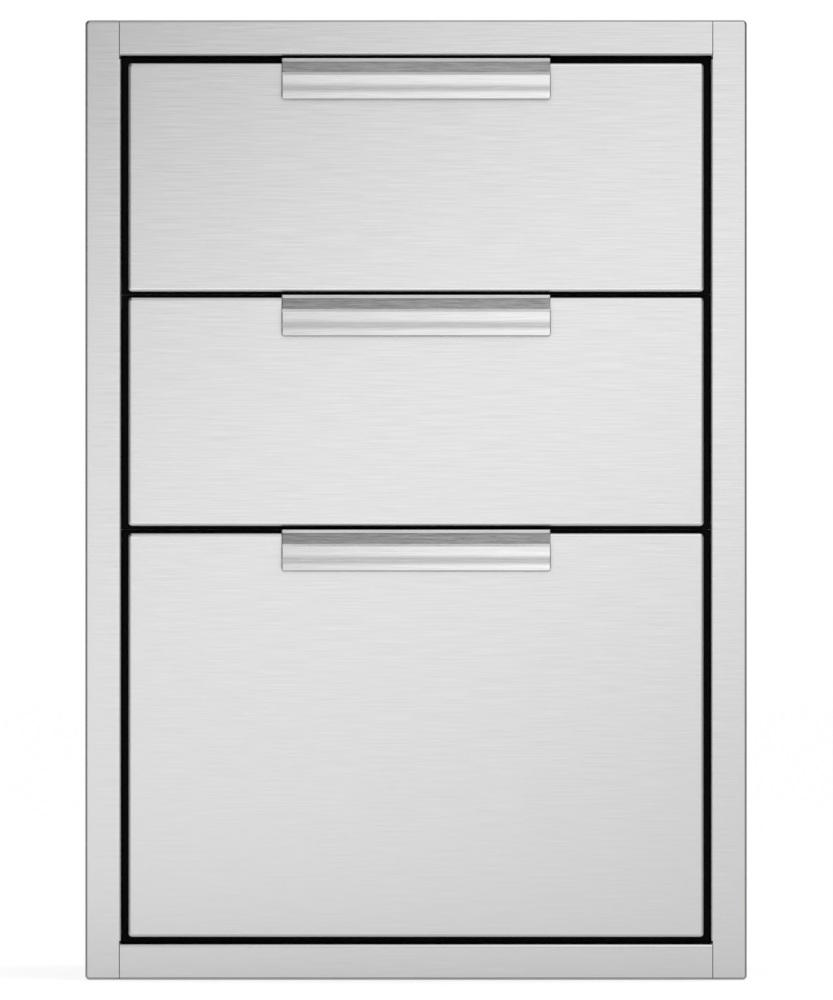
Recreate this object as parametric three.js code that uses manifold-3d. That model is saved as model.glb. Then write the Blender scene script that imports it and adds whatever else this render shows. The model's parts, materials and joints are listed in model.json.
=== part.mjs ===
// Outdoor kitchen drawer unit: a built-in cabinet with three drawers behind a stainless face frame.
// Millimetres, +Z up. The unit faces -Y. The plane y = 0 is the island's face that the frame bears on,
// and the origin is the middle of the strip on which the bottom rail bears.

import * as THREE from 'three';
import { mergeVertices } from 'three/addons/utils/BufferGeometryUtils.js';
import Module from 'manifold-3d';

const wasm = await Module();
wasm.setup();

// Face frame
const frameWidth = 406.4;
const frameHeight = 589.4;
const borderWidth = 22.2;
const frameDepth = 10;
const frameSheet = 1.2;
const frameCornerRadius = 2.6;
const bearingWidth = 14;
const innerReturnDepth = 21;
const seamGap = 0.3;
const reliefRadius = 0.8;
const reliefSides = 12;

// Folds of the frame and the fronts, measured on the outside
const foldRadius = 2;
const foldSteps = 4;
const cornerSteps = 3;

// Drawer fronts
const smallFrontHeight = 141;
const sideGap = 4;
const topGap = 3.9;
const upperGap = 2.9;
const lowerGap = 3.8;
const bottomGap = 3.8;
const frontDepth = 19;
const skinSheet = 1;
const frontCornerRadius = 2.6;
const linerSheet = 0.9;
const linerFlange = 8;
const linerCornerRadius = 2;
const linerFoldRadius = 1.4;

// Seals glued round the back of the fronts
const sealThickness = 3;
const sealWidth = 7;
const sealClearance = 0.5;

// Pulls
const pullWidth = 165.1;
const pullPlate = 3;
const pullPlateHeight = 20;
const pullWall = 2;
const pullTopStrip = 2;
const pullArmLength = 15;
const pullArmSlope = 27;
const pullBendRadius = 5.3;
const pullLipLean = 25;
const pullNoseRadius = 17.6;
const pullFlareRadius = 16.8;
const pullFlareLean = 22;
const pullBendSteps = 4;
const pullEdgeRadius = 0.6;
const pullEdgeSteps = 2;
const topPullRise = 2.7;
const middlePullRise = 1.3;
const bottomPullRise = 1.9;

// Screws of the pulls
const screwSetback = 22.55;
const screwDrop = 13.2;
const screwRadius = 2;
const screwHoleClearance = 0.3;
const screwHeadRadius = 3.9;
const screwHeadHeight = 2.6;
const screwRimHeight = 1.2;
const screwCrownRadius = 2.6;
const screwCrownSteps = 2;
const screwSocketRadius = 1.5;
const screwSocketDepth = 1.6;
const screwSides = 12;
const socketSides = 6;

// Telescopic slides
const slideLength = 450;
const slideHeight = 45;
const slideThickness = 12.7;
const slideSheet = 1.2;
const slideFoldRadius = 0.8;
const slideFoldSteps = 3;
const slideBallRoom = 3.6;
const slideSideGap = 0.8;
const slideLift = 6;
const slideBackRoom = 47.6;

// Drawer boxes
const boxShortfall = 10;
const boxSheet = 0.9;
const boxFoldRadius = 1;
const boxDropBelowFront = 24;
const boxLiftAboveFront = 12;
const boxRimWidth = 8;

// Cabinet
const cabinetSheet = 1;
const cabinetFoldRadius = 1;
const cabinetFlange = 12;
const fixingHoleRadius = 2.6;
const fixingHoleSetback = 30;
const fixingHoleLift = 120;
const fixingHoleDrop = 30;
const fixingHoleSides = 12;

// Divider rails behind the gaps between the fronts
const dividerHeight = 20;
const dividerDepth = 14;
const dividerSheet = 1.2;
const dividerFoldRadius = 0.8;

// Clearances between pieces that rest on one another, and the overrun of every cut
const seatGap = 0.2;
const overrun = 5;

// Sizes that follow from the ones above
const openingWidth = frameWidth - 2 * borderWidth;
const openingHeight = frameHeight - 2 * borderWidth;
const frameBottom = -bearingWidth / 2;
const frameMiddle = frameBottom + frameHeight / 2;
const openingTop = frameMiddle + openingHeight / 2;
const openingBottom = frameMiddle - openingHeight / 2;
const frontWidth = openingWidth - 2 * sideGap;
const tallFrontHeight = openingHeight - 2 * smallFrontHeight - topGap - upperGap - lowerGap - bottomGap;
const frontBack = frontDepth - frameDepth;
const sealBack = frontBack + seatGap + sealThickness;
const returnBack = innerReturnDepth - frameDepth;
const cabinetInside = openingWidth / 2 + frameSheet + seatGap;
const cabinetOutside = cabinetInside + cabinetSheet;
const ceiling = openingTop + frameSheet + seatGap;
const floor = openingBottom - frameSheet - seatGap;
const slideOutside = cabinetInside - seatGap;
const boxOutside = slideOutside - slideThickness - seatGap;
const slideFront = sealBack + seatGap;
const screwSpacing = pullWidth - 2 * screwSetback;
const boxDepth = slideLength - boxShortfall;
const cabinetDepth = slideFront + slideLength + slideBackRoom;
const sideBack = cabinetDepth - cabinetSheet - seatGap;

// Directions in which an outline is drawn: its first axis, its second axis and the way it is extruded
const fromTheFront = [[1, 0, 0], [0, 0, 1], [0, -1, 0]];
const fromTheBack = [[-1, 0, 0], [0, 0, 1], [0, 1, 0]];
const fromTheSide = [[0, -1, 0], [0, 0, 1], [-1, 0, 0]];
const fromAbove = [[1, 0, 0], [0, 1, 0], [0, 0, 1]];

function brushedSteel() {
  return new THREE.MeshStandardMaterial({ color: 0xc9cacb, roughness: 0.34, metalness: 1 });
}

function cabinetSteel() {
  return new THREE.MeshStandardMaterial({ color: 0xb9bbbd, roughness: 0.45, metalness: 1 });
}

function platedSteel() {
  return new THREE.MeshStandardMaterial({ color: 0xa9adb3, roughness: 0.3, metalness: 1 });
}

function screwSteel() {
  return new THREE.MeshStandardMaterial({ color: 0x9c9ea1, roughness: 0.28, metalness: 1 });
}

function blackRubber() {
  return new THREE.MeshStandardMaterial({ color: 0x101010, roughness: 0.85, metalness: 0 });
}

// How far a square corner stays from both faces of a fold to clear the round inside it
function clearOfFold(insideRadius) {
  return seatGap + insideRadius * (1 - Math.SQRT1_2);
}

// Turns a closed geometry into a solid that can be joined and cut
function solidFrom(geometry) {
  const bare = geometry.clone();
  bare.deleteAttribute('normal');
  bare.deleteAttribute('uv');
  const merged = mergeVertices(bare);
  const vertProperties = new Float32Array(merged.attributes.position.array);
  const triVerts = new Uint32Array(merged.index.array);
  return new wasm.Manifold(new wasm.Mesh({ numProp: 3, vertProperties, triVerts }));
}

function geometryFrom(solid) {
  const mesh = solid.getMesh();
  const geometry = new THREE.BufferGeometry();
  geometry.setAttribute('position', new THREE.BufferAttribute(mesh.vertProperties, mesh.numProp));
  geometry.setIndex(new THREE.BufferAttribute(mesh.triVerts, 1));
  geometry.computeVertexNormals();
  return geometry;
}

// A block between two opposite corners
function block(low, high) {
  const size = high.map((value, axis) => value - low[axis]);
  const geometry = new THREE.BoxGeometry(...size);
  geometry.translate(...low.map((value, axis) => value + size[axis] / 2));
  return solidFrom(geometry);
}

// A block centred on the Y axis
function uprightBlock(width, height, fromY, toY) {
  return block([-width / 2, fromY, -height / 2], [width / 2, toY, height / 2]);
}

// A straight bar of many sides along Y
function barAlongDepth(radius, sides, x, z, fromY, toY) {
  const geometry = new THREE.CylinderGeometry(radius, radius, toY - fromY, sides);
  geometry.translate(x, (fromY + toY) / 2, z);
  return solidFrom(geometry);
}

// The same along X
function barAcross(radius, sides, y, z, fromX, toX) {
  const geometry = new THREE.CylinderGeometry(radius, radius, toX - fromX, sides);
  geometry.rotateZ(Math.PI / 2);
  geometry.translate((fromX + toX) / 2, y, z);
  return solidFrom(geometry);
}

function shapeOf(points) {
  return new THREE.Shape(points.map(([a, b]) => new THREE.Vector2(a, b)));
}

function roundedRectangle(width, height, radius) {
  const shape = new THREE.Shape();
  const right = width / 2 - radius;
  const top = height / 2 - radius;
  const quarter = Math.PI / 2;
  shape.absarc(right, top, radius, 0, quarter);
  shape.absarc(-right, top, radius, quarter, 2 * quarter);
  shape.absarc(-right, -top, radius, 2 * quarter, 3 * quarter);
  shape.absarc(right, -top, radius, 3 * quarter, 4 * quarter);
  return shape;
}

function rectangleCorners(width, height) {
  const corners = [[-1, -1], [1, -1], [1, 1], [-1, 1]];
  return corners.map(([a, b]) => new THREE.Vector2((a * width) / 2, (b * height) / 2));
}

// Extrudes an outline along the view's third axis, with its edges rounded at both ends if asked
function extruded(shape, view, from, to, edgeRadius = 0, edgeSteps = foldSteps) {
  const geometry = new THREE.ExtrudeGeometry(shape, {
    depth: to - from - 2 * edgeRadius,
    curveSegments: cornerSteps,
    bevelEnabled: edgeRadius > 0,
    bevelThickness: edgeRadius,
    bevelSize: edgeRadius,
    bevelOffset: -edgeRadius,
    bevelSegments: edgeSteps,
  });
  geometry.translate(0, 0, from + edgeRadius);
  const axes = view.map((axis) => new THREE.Vector3(...axis));
  return geometry.applyMatrix4(new THREE.Matrix4().makeBasis(...axes));
}

// A plate with a square back edge. The edge of its face is folded round to the given radius.
function pressedPlate(shape, view, back, face, edgeRadius) {
  const rounded = extruded(shape, view, back - edgeRadius, face, edgeRadius);
  const past = new THREE.Shape(rectangleCorners(frameWidth + 2 * overrun, frameHeight + 2 * overrun));
  const behind = extruded(past, view, back - edgeRadius - overrun, back);
  return solidFrom(rounded).subtract(solidFrom(behind));
}

// A sheet pan that is open at the back: a face with its four edges folded back
function pressedPan(size, view, back, sheet, cornerRadius, edgeRadius) {
  const face = back + size.depth;
  const outerShape = roundedRectangle(size.width, size.height, cornerRadius);
  const outer = pressedPlate(outerShape, view, back, face, edgeRadius);
  const insideWidth = size.width - 2 * sheet;
  const insideHeight = size.height - 2 * sheet;
  const insideShape = roundedRectangle(insideWidth, insideHeight, cornerRadius - sheet);
  const hollow = extruded(insideShape, view, back - overrun, face - sheet, edgeRadius - sheet);
  return outer.subtract(solidFrom(hollow));
}

// Walks from a start along straight runs and arcs. A positive turn bears left. Each station keeps its
// place and the direction that points to the left of the walk.
function walk(start, heading, moves) {
  const stations = [];
  let [a, b] = start;
  let angle = THREE.MathUtils.degToRad(heading);
  const note = () => stations.push({ a, b, left: [-Math.sin(angle), Math.cos(angle)] });
  note();
  for (const move of moves) {
    if (move.run !== undefined) {
      a += move.run * Math.cos(angle);
      b += move.run * Math.sin(angle);
      note();
      continue;
    }
    const turn = THREE.MathUtils.degToRad(move.turn) / move.steps;
    const bend = Math.sign(turn) * move.radius;
    for (let step = 0; step < move.steps; step += 1) {
      a += bend * (Math.sin(angle + turn) - Math.sin(angle));
      b += bend * (Math.cos(angle) - Math.cos(angle + turn));
      angle += turn;
      note();
    }
  }
  return stations;
}

function besideWalk(stations, distance) {
  return stations.map(({ a, b, left }) => [a + distance * left[0], b + distance * left[1]]);
}

// The outline of a strip of sheet around its middle line
function stripOutline(stations, sheet) {
  const leftFace = besideWalk(stations, sheet / 2);
  const rightFace = besideWalk(stations, -sheet / 2);
  return [...leftFace, ...rightFace.reverse()];
}

// A strip folded square at every corner. Runs are outside lengths, and turns are +1 left or -1 right.
function foldedStrip(start, heading, runs, turns, sheet, insideRadius, steps) {
  const radius = insideRadius + sheet / 2;
  const setback = insideRadius + sheet;
  const moves = [];
  runs.forEach((run, index) => {
    const folds = (index > 0 ? 1 : 0) + (index < turns.length ? 1 : 0);
    moves.push({ run: run - folds * setback });
    if (index < turns.length) {
      moves.push({ radius, turn: turns[index] * 90, steps });
    }
  });
  return stripOutline(walk(start, heading, moves), sheet);
}

function piece(name, geometry, material, position = [0, 0, 0]) {
  const mesh = new THREE.Mesh(geometry, material);
  mesh.name = name;
  mesh.position.set(...position);
  return mesh;
}

// The whole face frame before it is parted at the seams: a face with its outer edge folded back to a
// strip that bears on the island, and its inner edge folded back into the opening.
function wholeFrame() {
  const shape = roundedRectangle(frameWidth, frameHeight, frameCornerRadius);
  shape.holes.push(new THREE.Path(rectangleCorners(openingWidth, openingHeight)));
  const face = pressedPlate(shape, fromTheFront, 0, frameDepth, foldRadius);

  const sleeveWidth = openingWidth + 2 * frameSheet;
  const sleeveHeight = openingHeight + 2 * frameSheet;
  const sleeve = uprightBlock(sleeveWidth, sleeveHeight, foldRadius - frameDepth, returnBack)
    .subtract(uprightBlock(openingWidth, openingHeight, -frameDepth - overrun, returnBack + overrun));
  const sleevePath = new THREE.Path(rectangleCorners(sleeveWidth, sleeveHeight));

  const insideRadius = foldRadius - frameSheet;
  const insideWidth = frameWidth - 2 * frameSheet;
  const insideHeight = frameHeight - 2 * frameSheet;
  const hollowShape = roundedRectangle(insideWidth, insideHeight, frameCornerRadius - frameSheet);
  hollowShape.holes.push(sleevePath);
  const hollow = pressedPlate(hollowShape, fromTheFront, frameSheet, frameDepth - frameSheet, insideRadius);

  const mouthWidth = frameWidth - 2 * bearingWidth;
  const mouthHeight = frameHeight - 2 * bearingWidth;
  const mouthShape = roundedRectangle(mouthWidth, mouthHeight, frameSheet);
  mouthShape.holes.push(sleevePath);
  const mouth = solidFrom(extruded(mouthShape, fromTheFront, -frameSheet, 2 * frameSheet));

  return face.add(sleeve).subtract(hollow).subtract(mouth);
}

// A small round notch at each inner corner, where the fold of the return was relieved
function frameRelief() {
  const front = -frameDepth - overrun;
  const back = foldRadius - frameDepth;
  let notches = null;
  for (const side of [-1, 1]) {
    for (const end of [-1, 1]) {
      const x = side * (openingWidth / 2 + frameSheet / 2);
      const z = end * (openingHeight / 2 + frameSheet / 2);
      const notch = barAlongDepth(reliefRadius, reliefSides, x, z, front, back);
      notches = notches ? notches.add(notch) : notch;
    }
  }
  return notches;
}

function addFaceFrame(unit) {
  const frame = wholeFrame().subtract(frameRelief());
  const farX = frameWidth / 2 + overrun;
  const farZ = frameHeight / 2 + overrun;
  const front = -frameDepth - overrun;
  const back = returnBack + overrun;
  const seamX = openingWidth / 2 + frameSheet;
  const insideX = openingWidth / 2 - overrun;
  for (const [name, side] of [['stile_left', -1], ['stile_right', 1]]) {
    const acrossBorder = [side * (seamX + seamGap / 2), side * farX].sort((a, b) => a - b);
    const acrossReturn = [side * insideX, side * farX].sort((a, b) => a - b);
    const border = block([acrossBorder[0], front, -farZ], [acrossBorder[1], back, farZ]);
    const returnEnd = openingHeight / 2 - seamGap;
    const besideOpening = block([acrossReturn[0], front, -returnEnd], [acrossReturn[1], back, returnEnd]);
    const stile = frame.intersect(border.add(besideOpening));
    unit.add(piece(name, geometryFrom(stile), brushedSteel(), [0, 0, frameMiddle]));
  }
  for (const [name, end] of [['rail_bottom', -1], ['rail_top', 1]]) {
    const across = seamX - seamGap / 2;
    const upright = [end * (openingHeight / 2 - seamGap / 2), end * farZ].sort((a, b) => a - b);
    const keep = block([-across, front, upright[0]], [across, back, upright[1]]);
    unit.add(piece(name, geometryFrom(frame.intersect(keep)), brushedSteel(), [0, 0, frameMiddle]));
  }
}

function addCabinet(unit) {
  const panelFront = seatGap;
  const panelLift = clearOfFold(cabinetFoldRadius);
  const panelHeight = ceiling - floor - 2 * panelLift;
  const sideDepth = sideBack - panelFront;
  for (const [name, side] of [['cabinet_side_left', -1], ['cabinet_side_right', 1]]) {
    const start = [cabinetOutside - cabinetSheet / 2, panelFront];
    const runs = [sideDepth, cabinetFlange];
    const outline = foldedStrip(start, 90, runs, [1], cabinetSheet, cabinetFoldRadius, slideFoldSteps);
    const mirrored = shapeOf(outline.map(([a, b]) => [side * a, b]));
    const sheet = solidFrom(extruded(mirrored, fromAbove, 0, panelHeight));
    const panel = sheet.subtract(fixingHoles(side, panelHeight));
    unit.add(piece(name, geometryFrom(panel), cabinetSteel(), [0, 0, floor + panelLift]));
  }

  const lidHalf = cabinetOutside + seatGap + cabinetSheet;
  const lidDepth = cabinetDepth - panelFront;
  const lidRuns = [cabinetFlange, 2 * lidHalf, cabinetFlange];
  for (const [name, end, level] of [['cabinet_bottom', -1, floor], ['cabinet_top', 1, ceiling]]) {
    const start = [lidHalf - cabinetSheet / 2, cabinetSheet - cabinetFlange];
    const outline = foldedStrip(start, 90, lidRuns, [1, 1], cabinetSheet, cabinetFoldRadius, slideFoldSteps);
    const upright = shapeOf(outline.map(([a, b]) => [a, end * b]));
    const lid = extruded(upright, fromTheFront, 0, lidDepth);
    unit.add(piece(name, lid, cabinetSteel(), [0, cabinetDepth, level]));
  }

  const backWidth = 2 * cabinetOutside;
  const back = new THREE.BoxGeometry(backWidth, cabinetSheet, panelHeight);
  const backPlace = [0, cabinetDepth - cabinetSheet / 2, (floor + ceiling) / 2];
  unit.add(piece('cabinet_back', back, cabinetSteel(), backPlace));
}

// Holes near the front of each cabinet side, through which the unit is screwed to the island
function fixingHoles(side, height) {
  const ends = [side * (cabinetInside - overrun), side * (cabinetOutside + overrun)];
  const [from, to] = ends.sort((a, b) => a - b);
  const lower = barAcross(fixingHoleRadius, fixingHoleSides, fixingHoleSetback, fixingHoleLift, from, to);
  const level = height - fixingHoleDrop;
  return lower.add(barAcross(fixingHoleRadius, fixingHoleSides, fixingHoleSetback, level, from, to));
}

// A channel across the cabinet, open at the back, with a tab at each end for its welds
function addDivider(unit, name, level) {
  const half = cabinetInside - seatGap;
  const runs = [dividerDepth, dividerHeight, dividerDepth];
  const start = [0, (dividerHeight - dividerSheet) / 2];
  const outline = foldedStrip(start, 0, runs, [-1, -1], dividerSheet, dividerFoldRadius, slideFoldSteps);
  let rail = solidFrom(extruded(shapeOf(outline), fromTheSide, -half, half));
  const tabHalf = dividerHeight / 2 - dividerSheet / 2;
  for (const side of [-1, 1]) {
    const across = [side * half, side * (half - dividerSheet)].sort((a, b) => a - b);
    const tab = block([across[0], -dividerDepth + dividerSheet / 2, -tabHalf], [across[1], 0, tabHalf]);
    rail = rail.add(tab);
  }
  const back = sealBack + seatGap + dividerDepth;
  unit.add(piece(name, geometryFrom(rail), cabinetSteel(), [0, back, level]));
}

// The outline of one channel of a slide, drawn for the right-hand side. Its web's outer face is at
// webFace, and its flanges point to the drawer, or for the drawer's own member to the cabinet.
function channelShape(side, webFace, height, flange, opensToDrawer) {
  const inward = opensToDrawer ? -1 : 1;
  const heading = opensToDrawer ? 0 : 180;
  const start = [webFace + inward * flange, (height - slideSheet) / 2];
  const runs = [flange, height, flange];
  const turns = [inward, inward];
  const outline = foldedStrip(start, heading, runs, turns, slideSheet, slideFoldRadius, slideFoldSteps);
  return shapeOf(outline.map(([a, b]) => [side * a, b]));
}

// The member fixed to the cabinet runs past the others to a tab that stops them when the drawer shuts
function cabinetMember(side) {
  const flange = slideThickness - slideSheet - slideSideGap;
  const shape = channelShape(side, slideOutside, slideHeight, flange, true);
  const tail = seatGap + slideSheet;
  const channel = extruded(shape, fromTheFront, -tail, slideLength);
  const ends = [side * (slideOutside - slideSheet / 2), side * (slideOutside - flange)];
  const [from, to] = ends.sort((a, b) => a - b);
  const half = (slideHeight - slideSheet) / 2;
  const stop = block([from, seatGap, -half], [to, tail, half]);
  return geometryFrom(solidFrom(channel).add(stop));
}

// The three members of a slide nest in one another, with room for the balls between their flanges. They are
// shut at rest.
function addSlide(bodies, prefix, side, level) {
  const hand = side < 0 ? 'left' : 'right';
  const place = [0, slideFront + slideLength, level];
  const name = (member) => `${prefix}_slide_${hand}_${member}_member`;
  const step = 2 * (slideSheet + slideBallRoom);
  const nestedFlange = slideThickness - 2 * (slideSheet + slideSideGap);
  bodies.unit.add(piece(name('cabinet'), cabinetMember(side), platedSteel(), place));

  const middleFace = slideOutside - slideSheet - slideSideGap;
  const middleShape = channelShape(side, middleFace, slideHeight - step, nestedFlange, true);
  const middle = extruded(middleShape, fromTheFront, 0, slideLength);
  bodies.middle.add(piece(name('middle'), middle, platedSteel(), place));

  const drawerFace = slideOutside - slideThickness;
  const drawerShape = channelShape(side, drawerFace, slideHeight - 2 * step, nestedFlange, false);
  const drawer = extruded(drawerShape, fromTheFront, 0, slideLength);
  bodies.drawer.add(piece(name('drawer'), drawer, platedSteel(), place));
}

function screwHoles(level, radius, fromY, toY) {
  const half = screwSpacing / 2;
  const left = barAlongDepth(radius, screwSides, -half, level, fromY, toY);
  return left.add(barAlongDepth(radius, screwSides, half, level, fromY, toY));
}

function addFront(drawer, prefix, front) {
  const { height, middle, screwLevel } = front;
  const place = [0, frontBack, middle];
  const holeRadius = screwRadius + screwHoleClearance;
  const holes = screwHoles(screwLevel - middle, holeRadius, -frontDepth - overrun, overrun);
  const skinSize = { width: frontWidth, height, depth: frontDepth };
  const skin = pressedPan(skinSize, fromTheFront, 0, skinSheet, frontCornerRadius, foldRadius);
  drawer.add(piece(`${prefix}_front_skin`, geometryFrom(skin.subtract(holes)), brushedSteel(), place));

  const inset = 2 * (skinSheet + seatGap);
  const linerSize = { width: frontWidth - inset, height: height - inset, depth: linerFlange };
  const mouth = -linerFlange;
  const liner = pressedPan(linerSize, fromTheBack, mouth, linerSheet, linerCornerRadius, linerFoldRadius);
  drawer.add(piece(`${prefix}_front_liner`, geometryFrom(liner.subtract(holes)), cabinetSteel(), place));
}

// A flat rubber frame glued on the back of the front. It reaches past the front's edges into the gaps.
function addSeal(drawer, prefix, front) {
  const { low, high, reachAbove, reachBelow } = front;
  const outerHalf = frontWidth / 2 + sideGap - sealClearance;
  const innerHalf = frontWidth / 2 - sealWidth;
  const across = [frontBack + seatGap, sealBack];
  const outer = block([-outerHalf, across[0], low - reachBelow], [outerHalf, across[1], high + reachAbove]);
  const innerLow = [-innerHalf, across[0] - overrun, low + sealWidth];
  const innerHigh = [innerHalf, across[1] + overrun, high - sealWidth];
  const seal = outer.subtract(block(innerLow, innerHigh));
  drawer.add(piece(`${prefix}_front_seal`, geometryFrom(seal), blackRubber()));
}

// The pull seen from its side, drawn forward from the front's face and down from the pull's top edge
function pullShape() {
  const moves = [
    { run: pullArmLength },
    { radius: pullBendRadius, turn: pullArmSlope + pullLipLean - 90, steps: pullBendSteps },
    { radius: pullNoseRadius, turn: -pullLipLean, steps: pullBendSteps },
    { radius: pullFlareRadius, turn: pullFlareLean, steps: pullBendSteps },
  ];
  const stations = walk([pullPlate, -pullTopStrip], -pullArmSlope, moves);
  const slope = THREE.MathUtils.degToRad(pullArmSlope);
  const underArm = -pullTopStrip - pullWall / Math.cos(slope);
  const visible = besideWalk(stations, 0);
  const hidden = besideWalk(stations.slice(1), -pullWall).reverse();
  const plateFront = [[pullPlate, underArm], [pullPlate, -pullPlateHeight]];
  const plateBack = [[0, -pullPlateHeight], [0, 0]];
  return shapeOf([...visible, ...hidden, ...plateFront, ...plateBack, [pullPlate, 0]]);
}

function addPull(drawer, prefix, front) {
  const { pullTop, screwLevel } = front;
  const half = pullWidth / 2;
  const profile = extruded(pullShape(), fromTheSide, -half, half, pullEdgeRadius, pullEdgeSteps);
  const holeRadius = screwRadius + screwHoleClearance;
  const holes = screwHoles(screwLevel - pullTop, holeRadius, -pullPlate - overrun, overrun);
  const drilled = solidFrom(profile).subtract(holes);
  const place = [0, -frameDepth - seatGap, pullTop];
  drawer.add(piece(`${prefix}_pull`, geometryFrom(drilled), brushedSteel(), place));
}

// A pan-head screw that points to the front, with its head's seat at y = 0
function screwGeometry(length) {
  const outline = [[0, -length], [screwRadius, -length], [screwRadius, 0], [screwHeadRadius, 0]];
  for (let step = 0; step <= screwCrownSteps; step += 1) {
    const angle = (step * Math.PI) / (2 * screwCrownSteps);
    const radius = screwCrownRadius + (screwHeadRadius - screwCrownRadius) * Math.cos(angle);
    outline.push([radius, screwRimHeight + (screwHeadHeight - screwRimHeight) * Math.sin(angle)]);
  }
  outline.push([0, screwHeadHeight]);
  const turned = new THREE.LatheGeometry(outline.map(([r, y]) => new THREE.Vector2(r, y)), screwSides);
  const socketFloor = screwHeadHeight - screwSocketDepth;
  const socket = barAlongDepth(screwSocketRadius, socketSides, 0, 0, socketFloor, screwHeadHeight + overrun);
  return geometryFrom(solidFrom(turned).subtract(socket));
}

function addScrews(drawer, prefix, front) {
  const seat = frontBack + seatGap;
  const length = frontDepth + seatGap + pullPlate;
  for (const [hand, side] of [['left', -1], ['right', 1]]) {
    const place = [(side * screwSpacing) / 2, seat, front.screwLevel];
    drawer.add(piece(`${prefix}_pull_screw_${hand}`, screwGeometry(length), screwSteel(), place));
  }
}

// The floor and sides of the drawer are one folded sheet. Its rims turn in, and the end walls fit between.
function addBox(drawer, prefix, front) {
  const bottom = front.low + boxLiftAboveFront;
  const height = front.high - boxDropBelowFront - bottom;
  const boxFront = frontBack + seatGap;
  const runs = [boxRimWidth, height, 2 * boxOutside, height, boxRimWidth];
  const start = [boxOutside - boxRimWidth, height - boxSheet / 2];
  const turns = [-1, -1, -1, -1];
  const outline = foldedStrip(start, 0, runs, turns, boxSheet, boxFoldRadius, slideFoldSteps);
  const tray = extruded(shapeOf(outline), fromTheFront, 0, boxDepth);
  drawer.add(piece(`${prefix}_drawer_tray`, tray, cabinetSteel(), [0, boxFront + boxDepth, bottom]));

  const wallInset = boxSheet + clearOfFold(boxFoldRadius);
  const wallHalf = boxOutside - wallInset;
  const wallHeight = height - 2 * wallInset;
  const wallRuns = [boxRimWidth, wallHeight, boxRimWidth];
  const wallBottom = bottom + wallInset;
  for (const [name, end] of [['front_wall', 1], ['back_wall', -1]]) {
    const wallStart = [0, wallHeight - boxSheet / 2];
    const wall = foldedStrip(wallStart, 0, wallRuns, [-1, -1], boxSheet, boxFoldRadius, slideFoldSteps);
    const turned = shapeOf(wall.map(([a, b]) => [end * (a - boxRimWidth), b]));
    const sheet = extruded(turned, fromTheSide, -wallHalf, wallHalf);
    const face = end > 0 ? boxFront : boxFront + boxDepth;
    drawer.add(piece(`${prefix}_drawer_${name}`, sheet, cabinetSteel(), [0, face, wallBottom]));
  }
}

function addDrawer(unit, prefix, front) {
  const drawer = new THREE.Group();
  const middle = new THREE.Group();
  unit.add(drawer);
  unit.add(middle);
  addFront(drawer, prefix, front);
  addSeal(drawer, prefix, front);
  addPull(drawer, prefix, front);
  addScrews(drawer, prefix, front);
  addBox(drawer, prefix, front);
  const level = front.low + boxLiftAboveFront + slideLift + slideHeight / 2;
  for (const side of [-1, 1]) {
    addSlide({ unit, middle, drawer }, prefix, side, level);
  }
}

// The fronts from the top down, each with the gap above it, the gap below it and its pull's rise
function frontPlaces() {
  const rows = [
    { prefix: 'top', height: smallFrontHeight, above: topGap, below: upperGap, rise: topPullRise },
    { prefix: 'middle', height: smallFrontHeight, above: upperGap, below: lowerGap, rise: middlePullRise },
    { prefix: 'bottom', height: tallFrontHeight, above: lowerGap, below: bottomGap, rise: bottomPullRise },
  ];
  let edge = openingTop;
  return rows.map((row, index) => {
    const high = edge - row.above;
    const low = high - row.height;
    edge = low;
    const sharedAbove = index > 0 ? 2 : 1;
    const sharedBelow = index < rows.length - 1 ? 2 : 1;
    return {
      prefix: row.prefix,
      height: row.height,
      high,
      low,
      middle: (high + low) / 2,
      reachAbove: (row.above - sealClearance) / sharedAbove,
      reachBelow: (row.below - sealClearance) / sharedBelow,
      gapBelowMiddle: low - row.below / 2,
      pullTop: high + row.rise,
      screwLevel: high - screwDrop,
    };
  });
}

function buildUnit() {
  const unit = new THREE.Group();
  addFaceFrame(unit);
  addCabinet(unit);
  const fronts = frontPlaces();
  addDivider(unit, 'divider_upper', fronts[0].gapBelowMiddle);
  addDivider(unit, 'divider_lower', fronts[1].gapBelowMiddle);
  for (const front of fronts) {
    addDrawer(unit, front.prefix, front);
  }
  return unit;
}

export default buildUnit();
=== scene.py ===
# %% [markdown]
# # A built-in drawer unit for an outdoor kitchen
#
# The real object is folded from stainless sheet. A face frame bears on the island's face, and three drawer
# fronts lie flush inside it. Behind each front hangs a drawer box on a pair of telescopic slides.
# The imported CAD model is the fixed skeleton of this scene: it gives every place and every motion, so the
# first step is to load it. All lengths in Blender are metres, in the same frame as the CAD.

import json
import math

import bmesh
import bpy
from mathutils import Matrix, Vector

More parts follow.
